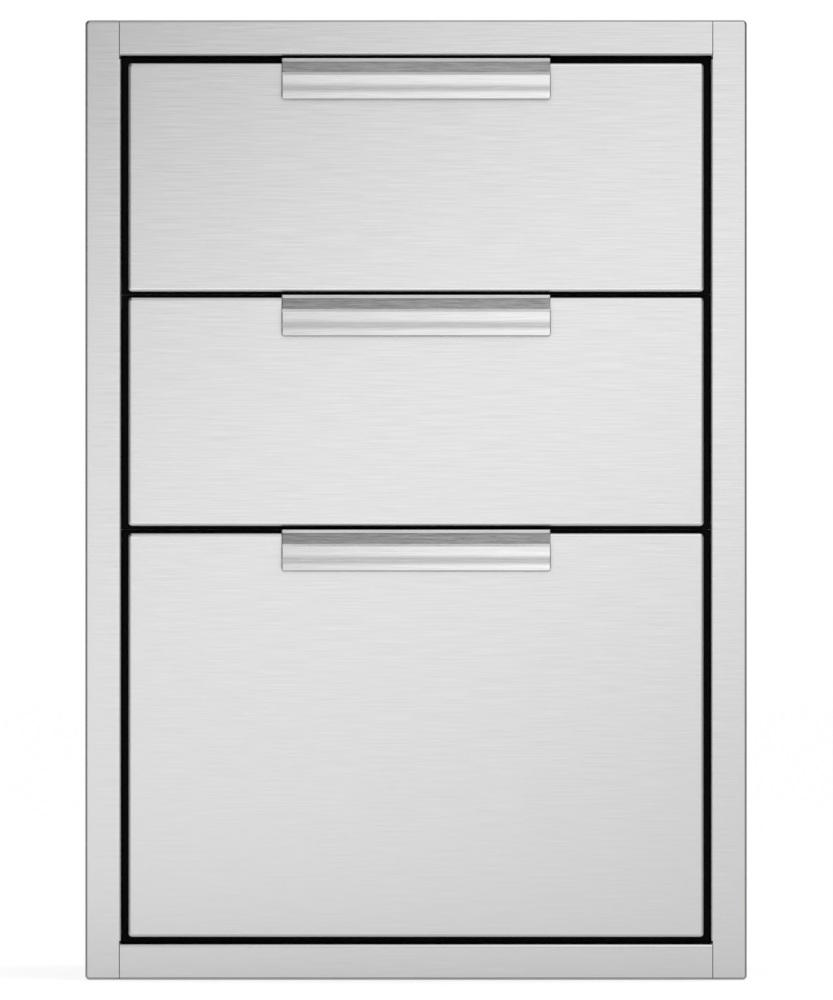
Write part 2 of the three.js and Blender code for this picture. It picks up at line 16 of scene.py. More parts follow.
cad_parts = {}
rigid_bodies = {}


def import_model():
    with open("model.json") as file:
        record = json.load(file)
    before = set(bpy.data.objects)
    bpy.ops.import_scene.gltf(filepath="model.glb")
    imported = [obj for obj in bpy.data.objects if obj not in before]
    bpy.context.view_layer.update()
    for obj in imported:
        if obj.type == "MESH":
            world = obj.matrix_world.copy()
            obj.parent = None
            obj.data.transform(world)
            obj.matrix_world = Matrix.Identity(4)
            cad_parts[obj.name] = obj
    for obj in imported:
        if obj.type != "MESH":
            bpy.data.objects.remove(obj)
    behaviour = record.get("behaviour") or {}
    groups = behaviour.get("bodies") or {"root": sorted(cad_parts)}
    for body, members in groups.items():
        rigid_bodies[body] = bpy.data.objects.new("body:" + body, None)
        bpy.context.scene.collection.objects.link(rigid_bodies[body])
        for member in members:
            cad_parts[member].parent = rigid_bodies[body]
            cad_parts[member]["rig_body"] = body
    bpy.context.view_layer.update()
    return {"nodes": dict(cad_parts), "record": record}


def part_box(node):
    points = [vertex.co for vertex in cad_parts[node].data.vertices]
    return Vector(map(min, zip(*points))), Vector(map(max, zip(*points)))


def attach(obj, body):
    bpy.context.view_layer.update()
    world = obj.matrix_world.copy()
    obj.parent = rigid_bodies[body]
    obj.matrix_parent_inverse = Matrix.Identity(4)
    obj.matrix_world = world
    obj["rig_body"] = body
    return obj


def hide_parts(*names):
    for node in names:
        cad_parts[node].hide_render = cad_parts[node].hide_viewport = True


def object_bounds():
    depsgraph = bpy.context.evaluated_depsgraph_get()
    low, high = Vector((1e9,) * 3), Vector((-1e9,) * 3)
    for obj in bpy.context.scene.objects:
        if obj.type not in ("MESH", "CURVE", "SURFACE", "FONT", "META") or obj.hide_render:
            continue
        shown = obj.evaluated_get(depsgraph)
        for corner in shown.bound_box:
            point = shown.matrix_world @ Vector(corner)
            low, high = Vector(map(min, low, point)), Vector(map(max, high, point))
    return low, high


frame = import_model()

# %% [markdown]
# ## Camera
#
# The photograph is taken so far in front of the unit that depth changes nothing in it. A camera 15 m away
# with a very long lens draws the same picture, and keeps a real perspective for the other views.
# The height of the picture in metres, at the face, follows from the width of the face frame in the picture.

# %% Camera
MILLIMETRE = 0.001
CAMERA_DISTANCE = 15.0
NEAREST_SEEN = 0.1
PICTURE_HEIGHT = 0.61418
SENSOR = 36.0
AIM_RIGHT = 0.28 * MILLIMETRE

face_low, face_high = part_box("stile_left")
FACE_Y = face_low.y
FACE_MIDDLE = (face_low.z + face_high.z) / 2


def add_object(name, data):
    thing = bpy.data.objects.new(name, data)
    bpy.context.collection.objects.link(thing)
    return thing


camera = add_object("camera", bpy.data.cameras.new("camera"))
camera.data.sensor_width = SENSOR
camera.data.lens = SENSOR * CAMERA_DISTANCE / PICTURE_HEIGHT
camera.data.clip_start = NEAREST_SEEN
camera.data.clip_end = 4 * CAMERA_DISTANCE
camera.location = (AIM_RIGHT, FACE_Y - CAMERA_DISTANCE, FACE_MIDDLE)
camera.rotation_euler = (math.radians(90), 0, 0)
bpy.context.scene.camera = camera
bpy.context.scene.view_settings.view_transform = "Standard"
print("lens:", round(camera.data.lens), "mm")

# %% [markdown]
# ## Shader nodes
#
# The room, the lights, the floor and every finish are small trees of nodes. One call makes a node. It names
# the kind of node and what goes into its sockets: a plain value, or the output of another node.

# %% Helpers for nodes
def fill(tree, node, values):
    """Fills the sockets of a node. Each value is a number, a colour, or the output that feeds the socket."""
    for socket, value in values.items():
        if isinstance(value, bpy.types.NodeSocket):
            tree.links.new(value, node.inputs[socket])
        else:
            node.inputs[socket].default_value = value


def add_node(tree, kind, values, **settings):
    node = tree.nodes.new(f"ShaderNode{kind}")
    for name, setting in settings.items():
        setattr(node, name, setting)
    fill(tree, node, values)
    return node


def combine(tree, operation, *values):
    """A sum, a product or another operation on one or two values."""
    return add_node(tree, "Math", dict(enumerate(values)), operation=operation).outputs[0]


def remap(tree, source, span, results, shape="LINEAR"):
    """Turns a value that runs over a span into one that runs between two results."""
    values = dict(enumerate((source, *span, *results)))
    return add_node(tree, "MapRange", values, interpolation_type=shape).outputs["Result"]


# %% [markdown]
# ## Room
#
# Polished metal has almost no colour of its own: it shows the room. Behind the unit the room is white, and so
# is the picture's background. The side that the fronts face is dim, as a studio is behind its camera, and the
# ceiling is white again. The world's strength therefore changes softly along Y, and along Z overhead.

# %% World
ROOM_BEHIND = 1.0
ROOM_IN_FRONT = 0.15
ROOM_EDGE = (-0.35, 0.35)
CEILING = 0.9
CEILING_EDGE = (0.8, 0.97)
WHITE = (1, 1, 1)

world = bpy.data.worlds.new("room")
world.use_nodes = True
bpy.context.scene.world = world
room = world.node_tree
direction = add_node(room, "TexCoord", {}).outputs["Generated"]
axes = add_node(room, "SeparateXYZ", {0: direction}).outputs
around = remap(room, axes["Y"], ROOM_EDGE, (ROOM_IN_FRONT, ROOM_BEHIND), "SMOOTHSTEP")
overhead = remap(room, axes["Z"], CEILING_EDGE, (0, CEILING), "SMOOTHSTEP")
strength = combine(room, "MAXIMUM", around, overhead)
fill(room, room.nodes["Background"], {"Strength": strength, "Color": (*WHITE, 1)})
print("room, nodes:", len(room.nodes))

# %% [markdown]
# ## Soft lights
#
# Two soft lights do the work of a studio. A long strip hangs in front of the unit at a slant, and its blurred
# reflection is the pale band that runs across the fronts from the lower left to the upper right. A soft box,
# half way up and to the right, is what the bends and lips of the pulls show. Each light fades towards its
# edges, as a real diffusing sheet does. Without that, a hard line would run over every bend.
# A light's brightness is the share of white that it shows in a mirror, and its power follows from its area.

# %% Lights
HALF = 0.5


def soften_edges(data, fall):
    """Lets the brightness fall at each side, over a share of the width and of the height."""
    data.use_nodes = True
    tree = data.node_tree
    place = add_node(tree, "NewGeometry", {}).outputs["Parametric"]
    axes = add_node(tree, "SeparateXYZ", {0: place}).outputs
    fades = []
    for index, share in enumerate(fall):
        from_middle = combine(tree, "ABSOLUTE", combine(tree, "SUBTRACT", axes[index], HALF))
        fades.append(remap(tree, from_middle, (HALF - share, HALF), (1, 0), "SMOOTHSTEP"))
    fill(tree, tree.nodes["Emission"], {"Strength": combine(tree, "MULTIPLY", *fades)})


def add_soft_light(name, place, size, brightness, fall, roll=0.0, lift=0.0):
    """A rectangle of light that faces the island, turned up or down towards the middle of the fronts."""
    light = add_object(name, bpy.data.lights.new(name, "AREA"))
    light.data.shape = "RECTANGLE"
    light.data.size, light.data.size_y = size
    light.data.energy = brightness * math.pi * size[0] * size[1]
    soften_edges(light.data, fall)
    light.location = place
    target = Vector((place[0], FACE_Y, FACE_MIDDLE + lift))
    aim = (target - Vector(place)).to_track_quat("-Z", "Y")
    light.rotation_euler = (aim.to_matrix() @ Matrix.Rotation(math.radians(roll), 3, "Z")).to_euler()
    light.visible_camera = False
    print(name, "power:", round(light.data.energy, 2), "W")


# %% The slanted strip and the soft box
STRIP_SIZE = (1.3, 2.8)
STRIP_BRIGHTNESS = 0.925
STRIP_FALL = (0.5, 0.5)
STRIP_ROLL = -66.0
STRIP_DISTANCE = 1.2
STRIP_SHIFT = (0.146, 0.163)
BOX_SIZE = (2.3, 3.4)
BOX_BRIGHTNESS = 1.62
BOX_FALL = (0.3, 0.36)
BOX_DISTANCE = 2.2
BOX_ELEVATION = math.radians(44)
BOX_RIGHT = 0.58

strip_place = (STRIP_SHIFT[0], FACE_Y - STRIP_DISTANCE, FACE_MIDDLE + STRIP_SHIFT[1])
box_forward, box_up = BOX_DISTANCE * math.cos(BOX_ELEVATION), BOX_DISTANCE * math.sin(BOX_ELEVATION)
box_place = (BOX_RIGHT, FACE_Y - box_forward, FACE_MIDDLE + box_up)
add_soft_light("slanted_strip", strip_place, STRIP_SIZE, STRIP_BRIGHTNESS, STRIP_FALL,
               STRIP_ROLL, STRIP_SHIFT[1])
add_soft_light("soft_box", box_place, BOX_SIZE, BOX_BRIGHTNESS, BOX_FALL)

# %% [markdown]
# ## Floor
#
# A plain pale floor lies just below the unit. It glows a little for the camera, so that it stays white in the
# picture, and it still takes the soft shadow of the unit.

# %% Floor
FLOOR_GLOW = 0.5
FLOOR_WHITE = 1.42
FLOOR_SIZE = 40.0
FLOOR_PARTS = 4
FLOOR_DROP = 0.5 * MILLIMETRE
FLOOR_GREY = 0.85
FLOOR_ROUGHNESS = 0.9


def grey(level):
    return (level, level, level)


def start_material(name, colour, metallic, roughness):
    material = bpy.data.materials.new(name)
    material.use_nodes = True
    tree = material.node_tree
    shader = tree.nodes["Principled BSDF"]
    fill(tree, shader, {"Base Color": (*colour, 1), "Metallic": metallic, "Roughness": roughness})
    return material, tree, shader


bpy.ops.mesh.primitive_grid_add(x_subdivisions=FLOOR_PARTS, y_subdivisions=FLOOR_PARTS, size=FLOOR_SIZE)
floor = bpy.context.object
floor.name = "floor"
floor.location = (0, 0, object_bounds()[0].z - FLOOR_DROP)
pale_floor, tree, shader = start_material("pale_floor", grey(FLOOR_GREY), 0, FLOOR_ROUGHNESS)
rays = add_node(tree, "LightPath", {}).outputs
seen = combine(tree, "ADD", rays["Is Camera Ray"], rays["Is Glossy Ray"])
share = combine(tree, "MULTIPLY", combine(tree, "ADD", seen, rays["Is Transmission Ray"]), FLOOR_GLOW)
glow = add_node(tree, "Emission", {"Strength": FLOOR_WHITE})
mix = add_node(tree, "MixShader", {"Fac": share, 1: shader.outputs[0], 2: glow.outputs[0]})
fill(tree, tree.nodes["Material Output"], {"Surface": mix.outputs[0]})
floor.data.materials.append(pale_floor)
print("floor level:", round(floor.location.z / MILLIMETRE, 1), "mm")

# %% [markdown]
# ## Finishes
#
# Brushed sheet has fine scratches that all run one way. Seen from a step away they are faint streaks, a few
# centimetres long and less than a millimetre thick. A noise texture that is stretched along X and squeezed
# along the other two axes gives them, and they change the colour, the roughness and the relief a little.

# %% Helpers for finishes
NOISE_SPAN = (0.3, 0.7)
NOISE_DETAIL = 3.0
NOISE_GRIT = 0.6


def add_noise(tree, scale, detail=NOISE_DETAIL, grit=NOISE_GRIT):
    """A noise texture in the piece's own coordinates, with a different scale along each axis."""
    place = add_node(tree, "TexCoord", {}).outputs["Object"]
    stretched = add_node(tree, "Mapping", {"Vector": place, "Scale": scale}).outputs["Vector"]
    values = {"Vector": stretched, "Scale": 1, "Detail": detail, "Roughness": grit}
    return add_node(tree, "TexNoise", values).outputs["Fac"]


def tint(tree, source, dark, light):
    """A colour that follows the noise from a dark one to a light one."""
    ramp = add_node(tree, "ValToRGB", {"Fac": source})
    for stop, place, colour in zip(ramp.color_ramp.elements, NOISE_SPAN, (dark, light)):
        stop.position = place
        stop.color = (*colour, 1)
    return ramp.outputs["Color"]


def relief(tree, source, strength, distance):
    values = {"Height": source, "Strength": strength, "Distance": distance * MILLIMETRE}
    return add_node(tree, "Bump", values).outputs["Normal"]


SCRATCH_STRENGTH = 0.15
SCRATCH_DEPTH = 0.02


def brushed_steel(name, dark, light, roughness, scale, *noise):
    material, tree, shader = start_material(name, light, 1, roughness[0])
    streaks = add_noise(tree, scale, *noise)
    fill(tree, shader, {
        "Base Color": tint(tree, streaks, dark, light),
        "Roughness": remap(tree, streaks, NOISE_SPAN, roughness),
        "Normal": relief(tree, streaks, SCRATCH_STRENGTH, SCRATCH_DEPTH),
    })
    return material


# %% [markdown]
# The folds have a darker tone of their own, painted shade for the shade that a fold turns into, and the
# frame's outer edge and the fold under the top rail have the darkest painted shade. The arm of a pull was
# brushed with a coarser belt, and its streaks are the strongest; its darker tone is painted shade. The tight
# bend under it was stretched, which dulls it. On the two lower pulls the crease at the bend's root mirrors
# the dark underside of the pull above, and would look like a scratch, so it has a much lighter tone: a
# painted highlight.
# Each finish is a dark and a light tone, a range of roughness, and the scale of its streaks along X, Y and Z.

# %% Steel
BRUSH = (30, 1200, 1200)
PULL_BRUSH = (48, 1400, 1400)
ARM_BRUSH = (60, 700, 700)
ARM_DETAIL = 6.0
ARM_GRIT = 0.75
ZINC_GRAIN = (180, 60, 700)
SCREW_GRAIN = (900, 200, 900)

front_steel = brushed_steel("front_steel", grey(0.594), grey(0.648), (0.15, 0.18), BRUSH)
pull_steel = brushed_steel("pull_steel", grey(0.465), grey(0.55), (0.15, 0.19), PULL_BRUSH)
bend_steel = brushed_steel("bend_steel", grey(0.465), grey(0.55), (0.32, 0.38), PULL_BRUSH)
# A much lighter tone for the crease of the two lower pulls: a painted highlight.
crease_painted_highlight = brushed_steel("crease_painted_highlight", grey(0.78), grey(0.9), (0.32, 0.38), PULL_BRUSH)
# The darker tone of the folds and rounded edges is painted shade.
edge_painted_shade = brushed_steel("edge_painted_shade", grey(0.41), grey(0.47), (0.2, 0.25), BRUSH)
# The darkest tone, on the frame's outer rim and the fold under the top rail, is painted shade.
rim_painted_shade = brushed_steel("rim_painted_shade", grey(0.27), grey(0.33), (0.2, 0.25), BRUSH)
# The arm's darker tone is painted shade; its strong streaks are grain.
arm_streaks_and_painted_shade = brushed_steel("arm_streaks_and_painted_shade", grey(0.12), grey(0.45), (0.18, 0.26), ARM_BRUSH, ARM_DETAIL, ARM_GRIT)
zinc_steel = brushed_steel("zinc_steel", (0.5, 0.52, 0.55), (0.6, 0.62, 0.66), (0.24, 0.36), ZINC_GRAIN)
screw_steel = brushed_steel("screw_steel", (0.48, 0.48, 0.49), (0.56, 0.56, 0.57), (0.24, 0.3), SCREW_GRAIN)
print("finishes so far:", len(bpy.data.materials))

# %% [markdown]
# The cabinet and the drawer boxes are plain mill sheet: greyer and duller than the brushed face, with a faint
# grain along the depth, where the rolls pulled it, and soft clouds a hand wide where the rolls polished it
# unevenly. The clouds change the roughness, so they show in the reflections and hardly in the colour. A spot
# weld leaves a dark straw-coloured mark.

# %% Mill sheet, welds and rubber
CLOUDS = (7, 5, 7)
CLOUD_DETAIL = 4.0
CLOUD_GRIT = 0.55
CLOUD_SHADE = (0.88, 0.88, 0.89)
ROLLING_GRAIN = (900, 22, 900)
WELD_GRAIN = grey(600)
RUBBER_GRAIN = grey(1500)
RUBBER_GLOSS = 0.2
RUBBER_ROUGHNESS = (0.65, 0.75, 0.85)
PIT_STRENGTH = 0.3
PIT_DEPTH = 0.05


def mill_sheet(name, dark, light, roughness):
    material = brushed_steel(name, dark, light, roughness, ROLLING_GRAIN)
    tree = material.node_tree
    shader = tree.nodes["Principled BSDF"]
    clouds = add_noise(tree, CLOUDS, CLOUD_DETAIL, CLOUD_GRIT)
    grain = shader.inputs["Base Color"].links[0].from_socket
    layers = {"Factor": 1, "A": grain, "B": tint(tree, clouds, CLOUD_SHADE, WHITE)}
    mottle = add_node(tree, "Mix", layers, data_type="RGBA", blend_type="MULTIPLY").outputs["Result"]
    fill(tree, shader, {"Base Color": mottle, "Roughness": remap(tree, clouds, NOISE_SPAN, roughness)})
    return material


sheet_steel = mill_sheet("sheet_steel", (0.54, 0.54, 0.55), (0.63, 0.63, 0.64), (0.26, 0.42))
weld_steel = brushed_steel("weld_steel", (0.26, 0.22, 0.18), (0.42, 0.38, 0.33), (0.3, 0.45), WELD_GRAIN)
seal_rubber, tree, shader = start_material("seal_rubber", grey(0.008), 0, RUBBER_ROUGHNESS[1])
pits = add_noise(tree, RUBBER_GRAIN)
fill(tree, shader, {
    "Specular IOR Level": RUBBER_GLOSS,
    "Roughness": remap(tree, pits, NOISE_SPAN, (RUBBER_ROUGHNESS[0], RUBBER_ROUGHNESS[2])),
    "Normal": relief(tree, pits, PIT_STRENGTH, PIT_DEPTH),
})

# %% Finishes of the CAD nodes
FINISHES = {
    "brushed_steel": front_steel,
    "sheet_steel": sheet_steel,
    "plated_steel": zinc_steel,
    "screw_steel": screw_steel,
    "seal_rubber": seal_rubber,
}
SLOTS = {part["node"]: part["material_slot"] for part in frame["record"]["subparts"]}

for node, slot in SLOTS.items():
    finishes = frame["nodes"][node].data.materials
    finishes.clear()
    finishes.append(pull_steel if node.endswith("_pull") else FINISHES[slot])
print("finishes:", len(bpy.data.materials), "CAD nodes:", len(SLOTS))

# %% [markdown]
# ## Sheet metal as meshes
#
# The CAD pieces are exact but coarse. A fold there has three or four facets, and in a mirror-like metal each
# facet shows. Each piece below takes its place and size from the CAD node that it stands for, and draws its
# folds finely. Lengths inside the helpers are millimetres, as on a drawing, and turn into metres at the end.

# %% Helpers for every piece
SHARP_ANGLE = math.radians(35)
FLATNESS_WEIGHT = 100


def box_of(node):
    """The lowest and highest corner of a CAD node, in millimetres."""
    low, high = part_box(node)
    return low / MILLIMETRE, high / MILLIMETRE


def add_mesh(name, points, faces, material):
    """An object from points in millimetres, with its faces turned outwards."""
    mesh = bpy.data.meshes.new(name)
    mesh.from_pydata([Vector(point) * MILLIMETRE for point in points], [], faces)
    mesh.materials.append(material)
    solid = bmesh.new()
    solid.from_mesh(mesh)
    bmesh.ops.recalc_face_normals(solid, faces=solid.faces)
    solid.to_mesh(mesh)
    solid.free()
    return add_object(name, mesh)


def cut(piece, tool, operation="DIFFERENCE"):
    """Cuts one solid with another, writes the result into the mesh, and throws the tool away."""
    boolean = piece.modifiers.new("cut", "BOOLEAN")
    boolean.operation = operation
    boolean.solver = "EXACT"
    boolean.object = tool
    view = bpy.context.evaluated_depsgraph_get()
    result = bpy.data.meshes.new_from_object(piece.evaluated_get(view))
    piece.modifiers.clear()
    piece.data = result
    bpy.data.objects.remove(tool)


def dress(piece, body):
    """A finished piece: rounds are shaded smooth, sharp edges stay sharp and flats stay flat. It moves with a
    body."""
    mesh = piece.data
    mesh.polygons.foreach_set("use_smooth", [True] * len(mesh.polygons))
    mesh.set_sharp_from_angle(angle=SHARP_ANGLE)
    weighted = piece.modifiers.new("flat_faces", "WEIGHTED_NORMAL")
    weighted.keep_sharp = True
    weighted.weight = FLATNESS_WEIGHT
    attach(piece, body)


def stand_for(piece, node):
    """The piece replaces a CAD node, which is hidden: it rides on the same body."""
    dress(piece, frame["nodes"][node]["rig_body"])
    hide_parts(node)
    print(piece.name, "faces:", len(piece.data.polygons))


# %% Helpers for the finish of single faces
FOLD_TILT = math.cos(math.radians(3))
SHADED_TILT = math.cos(math.radians(10))
DOWNWARD = -0.01


def is_tilted(face):
    """True where a face looks along none of the three axes, as on a fold or a rounded edge. A face that looks
    down counts from a smaller tilt, so on a fold the painted shade reaches further round its underside."""
    limit = FOLD_TILT if face.normal.z < DOWNWARD else SHADED_TILT
    return max(abs(part) for part in face.normal) < limit


def refinish(piece, material, chosen):
    """Gives the chosen faces of a piece another finish."""
    piece.data.materials.append(material)
    last = len(piece.data.materials) - 1
    for face in piece.data.polygons:
        if chosen(face):
            face.material_index = last


# %% [markdown]
# ## Rings
#
# A pressed pan, a frame and a seal are all the same thing: one rounded rectangle after another, each a little
# further in or back, joined by quads. A profile lists how far in and how far back each ring is. The corner
# radius shrinks with the inset, as it does where a real corner is folded, and every ring has as many points.

# %% Rings of rounded rectangles
CORNER_STEPS = 8
FOLD_STEPS = 8
LEAST_RADIUS = 0.05
BROKEN_EDGE = 0.15


def rings_along(profile, half_width, half_height, corner_radius, middle):
    rings = []
    for inset, y in profile:
        radius = max(corner_radius - inset, LEAST_RADIUS)
        straight_x, straight_z = half_width - inset - radius, half_height - inset - radius
        ring = []
        for corner, (side, end) in enumerate([(1, 1), (-1, 1), (-1, -1), (1, -1)]):
            for step in range(CORNER_STEPS + 1):
                angle = math.radians(90) * (corner + step / CORNER_STEPS)
                x = side * straight_x + radius * math.cos(angle)
                z = end * straight_z + radius * math.sin(angle)
                ring.append((x, y, middle + z))
        rings.append(ring)
    return rings


def loft(rings, closed=False):
    """Points and faces of a skin over the rings, with a lid at each end unless it closes on itself."""
    count = len(rings[0])
    points = [point for one in rings for point in one]
    faces = []
    last = len(rings) if closed else len(rings) - 1
    for level in range(last):
        here, there = level * count, (level + 1) % len(rings) * count
        for step in range(count):
            after = (step + 1) % count
            faces.append((here + step, here + after, there + after, there + step))
    if not closed:
        faces.append(tuple(range(count)))
        faces.append(tuple(range((len(rings) - 1) * count, len(rings) * count)))
    return points, faces


def join_lofts(name, lofts, material):
    """One object from many separate closed skins."""
    points, faces = [], []
    for some_points, some_faces in lofts:
        base = len(points)
        points += some_points
        faces += [tuple(base + index for index in face) for face in some_faces]
    return add_mesh(name, points, faces, material)


def arc(centre, radius, start, end):
    """Points on an arc, between two angles in degrees."""
    angles = [math.radians(start + (end - start) * step / FOLD_STEPS) for step in range(FOLD_STEPS + 1)]
    return [(centre[0] + radius * math.cos(t), centre[1] + radius * math.sin(t)) for t in angles]


# %% [markdown]
# ## Holes
#
# A hole is cut with a short prism: a circle of points at each end, joined like any other rings. Two screws
# hold each pull, so the same pair of holes goes through the front's skin, its liner and the pull.

# %% Holes
ALONG_X, ALONG_Y, ALONG_Z = Vector((1, 0, 0)), Vector((0, 1, 0)), Vector((0, 0, 1))
HANDS = (("left", -1), ("right", 1))
HOLE_RADIUS = 2.3
HOLE_SIDES = 24


def circle(centre, across, other, radius, sides):
    """Points on a circle in the plane of two directions."""
    turns = [math.radians(360) * step / sides for step in range(sides)]
    return [tuple(centre + radius * (across * math.cos(t) + other * math.sin(t))) for t in turns]


def drill(piece, centre, axis, radius, sides, length):
    """A round or hexagonal hole through a point, along X or Y."""
    across = ALONG_Y if axis is ALONG_X else ALONG_X
    ends = [Vector(centre) + axis * way * length / 2 for way in (-1, 1)]
    rings = [circle(end, across, ALONG_Z, radius, sides) for end in ends]
    cut(piece, add_mesh("drill", *loft(rings), screw_steel))


def drill_for_screws(piece, prefix, y, length):
    for hand, side in HANDS:
        low, high = box_of(f"{prefix}_pull_screw_{hand}")
        middle = (low + high) / 2
        drill(piece, (middle.x, y, middle.z), ALONG_Y, HOLE_RADIUS, HOLE_SIDES, length)


# %% [markdown]
# ## Drawer fronts
#
# Each front is a pan of brushed sheet, folded back on all four sides. The light that runs along those folds
# makes it look like metal, so they have eight steps. A flat ring just inside the fold keeps the face dead
# flat. The second wall is a shallower pan of plain sheet, inside the skin, that faces the drawer box.

# %% Skins and liners
PREFIXES = ("top", "middle", "bottom")
SKIN_SHEET = 1.0
SKIN_FOLD = 2.0
SKIN_CORNER = 2.6
LINER_SHEET = 0.9
LINER_FOLD = 1.4
LINER_CORNER = 2.0
FLAT_BEGINS = 0.5
SHEETS_DRILLED = 6


def pan_profile(front, back, sheet, fold):
    """From the middle of the outer face round the fold to the rim, and back inside. It opens along +Y."""
    toward = 1 if back > front else -1
    outside = [(fold + FLAT_BEGINS, front)]
    outside += [(a, front + toward * (b + fold)) for a, b in arc((fold, 0), fold, -90, -180)]
    inside = [(a, front + toward * (b + fold)) for a, b in arc((fold, 0), fold - sheet, -180, -90)]
    rim = [(0, back - toward * BROKEN_EDGE), (BROKEN_EDGE, back)]
    rim += [(sheet - BROKEN_EDGE, back), (sheet, back - toward * BROKEN_EDGE)]
    return outside + rim + inside + [(fold + FLAT_BEGINS, front + toward * sheet)]


def add_pan(name, node, faces_back, sheet, fold, corner, material):
    low, high = box_of(node)
    front, back = (high.y, low.y) if faces_back else (low.y, high.y)
    profile = pan_profile(front, back, sheet, fold)
    rings = rings_along(profile, (high.x - low.x) / 2, (high.z - low.z) / 2, corner, (high.z + low.z) / 2)
    return add_mesh(name, *loft(rings), material)


WALLS = (("skin", False, SKIN_SHEET, SKIN_FOLD, SKIN_CORNER, front_steel),
         ("liner", True, LINER_SHEET, LINER_FOLD, LINER_CORNER, sheet_steel))
for wall, faces_back, sheet, fold, corner, finish in WALLS:
    for prefix in PREFIXES:
        node = f"{prefix}_front_{wall}"
        pan = add_pan(f"{prefix}_{wall}", node, faces_back, sheet, fold, corner, finish)
        drill_for_screws(pan, prefix, box_of(node)[faces_back].y, SHEETS_DRILLED * sheet)
        # The folds of the skin get a darker tone: painted shade.
        if not faces_back:
            refinish(pan, edge_painted_shade, is_tilted)
        stand_for(pan, node)

# %% [markdown]
# ## Seals
#
# A flat rubber frame is glued on the back of each front and reaches out behind the gaps, which is why they
# look black. Its outer edge is rounded, and a low lip runs along it where it meets the face frame. Rubber
# yields, so it is drawn a hair's breadth from its neighbours: no light comes through beside it.

# %% Seals
SEAL_CORNER = 0.3
SEAL_LIP = 0.5
SEAL_LIP_WIDTH = 2.2
SEAL_GLUED = 7.0
SEAL_CLEARANCE = 0.1


def seal_profile(front, back, width):
    edge = (back - front - SEAL_LIP) / 2
    outer = arc((edge, front + edge), edge, -90, -270)
    lip = arc((SEAL_LIP_WIDTH / 2 + edge / 2, back - SEAL_LIP), SEAL_LIP, 180, 0)
    inner = [(width - SEAL_LIP, back - SEAL_LIP), (width, back - 2 * SEAL_LIP)]
    return outer + lip + inner + [(width, front + BROKEN_EDGE), (width - BROKEN_EDGE, front)]


def seal_reach(index, low, high):
    """How far up and down a seal reaches: almost to the frame, or almost to the seal of the next front."""
    top = box_of("rail_top")[0].z - SEAL_CLEARANCE
    bottom = box_of("rail_bottom")[1].z + SEAL_CLEARANCE
    if index > 0:
        top = (high.z + box_of(f"{PREFIXES[index - 1]}_front_seal")[0].z - SEAL_CLEARANCE) / 2
    if index + 1 < len(PREFIXES):
        bottom = (low.z + box_of(f"{PREFIXES[index + 1]}_front_seal")[1].z + SEAL_CLEARANCE) / 2
    return top, bottom


for index, prefix in enumerate(PREFIXES):
    node = f"{prefix}_front_seal"
    low, high = box_of(node)
    side = box_of("stile_right")[0].x - SEAL_CLEARANCE
    top, bottom = seal_reach(index, low, high)
    profile = seal_profile(low.y, high.y, SEAL_GLUED + (side - box_of(f"{prefix}_front_skin")[1].x))
    rings = rings_along(profile, side, (top - bottom) / 2, SEAL_CORNER, (top + bottom) / 2)
    stand_for(add_mesh(f"{prefix}_seal", *loft(rings, closed=True), seal_rubber), node)

# %% [markdown]
# ## Face frame
#
# The frame is folded from four strips. Its face is 22.2 mm wide, the outer edge folds back to a strip that
# bears on the island, and the inner edge folds back into the opening. It is drawn as one closed profile that
# runs round a rectangle, and is then parted at the seams, as the real strips meet there. A small notch in
# each inner corner is where the stile was relieved before it was folded, and shows black.

# %% Section of the frame
FRAME_SHEET = 1.2
FRAME_FOLD = 1.6
FRAME_BACK_FOLD = 1.6
FRAME_CORNER = 2.6
BORDER = 22.2
BEARING = 14.0

stile_low, stile_high = box_of("stile_left")
FRAME_HALF_WIDTH = -stile_low.x
FRAME_HALF_HEIGHT = (stile_high.z - stile_low.z) / 2
FRAME_MIDDLE = (stile_high.z + stile_low.z) / 2
OPENING_HALF_WIDTH = FRAME_HALF_WIDTH - BORDER
OPENING_HALF_HEIGHT = FRAME_HALF_HEIGHT - BORDER


def frame_profile(front, back, fold):
    """One closed loop of inset and Y: the face, the outer flange, the bearing strip, and the return. The fold
    is the radius at the opening."""
    inner_fold = (BORDER - fold, front + fold)
    outer_fold = (FRAME_FOLD, front + FRAME_FOLD)
    back_fold = (FRAME_BACK_FOLD, -FRAME_BACK_FOLD)
    loop = [(BORDER - fold - FLAT_BEGINS, front), (FRAME_FOLD + FLAT_BEGINS, front)]
    loop += arc(outer_fold, FRAME_FOLD, -90, -180) + arc(back_fold, FRAME_BACK_FOLD, 180, 90)
    loop += [(BEARING - BROKEN_EDGE, 0), (BEARING, -BROKEN_EDGE)]
    loop += [(BEARING, BROKEN_EDGE - FRAME_SHEET), (BEARING - BROKEN_EDGE, -FRAME_SHEET)]
    loop += arc(back_fold, FRAME_BACK_FOLD - FRAME_SHEET, 90, 180)
    loop += arc(outer_fold, FRAME_FOLD - FRAME_SHEET, -180, -90) + arc(inner_fold, fold - FRAME_SHEET, -90, 0)
    loop += [(BORDER - FRAME_SHEET, back - BROKEN_EDGE), (BORDER - FRAME_SHEET + BROKEN_EDGE, back)]
    return loop + [(BORDER - BROKEN_EDGE, back), (BORDER, back - BROKEN_EDGE)] + arc(inner_fold, fold, 0, -90)


def whole_frame(name, fold):
    profile = frame_profile(stile_low.y, stile_high.y, fold)
    rings = rings_along(profile, FRAME_HALF_WIDTH, FRAME_HALF_HEIGHT, FRAME_CORNER, FRAME_MIDDLE)
    return add_mesh(name, *loft(rings, closed=True), front_steel)


def add_block(across, along, upright):
    """A plain box to cut with, between two levels on each axis."""
    corners = [(x, y, z) for x in sorted(across) for y in sorted(along) for z in sorted(upright)]
    faces = [(0, 1, 3, 2), (4, 6, 7, 5), (0, 4, 5, 1), (2, 3, 7, 6), (0, 2, 6, 4), (1, 5, 7, 3)]
    return add_mesh("block", corners, faces, screw_steel)


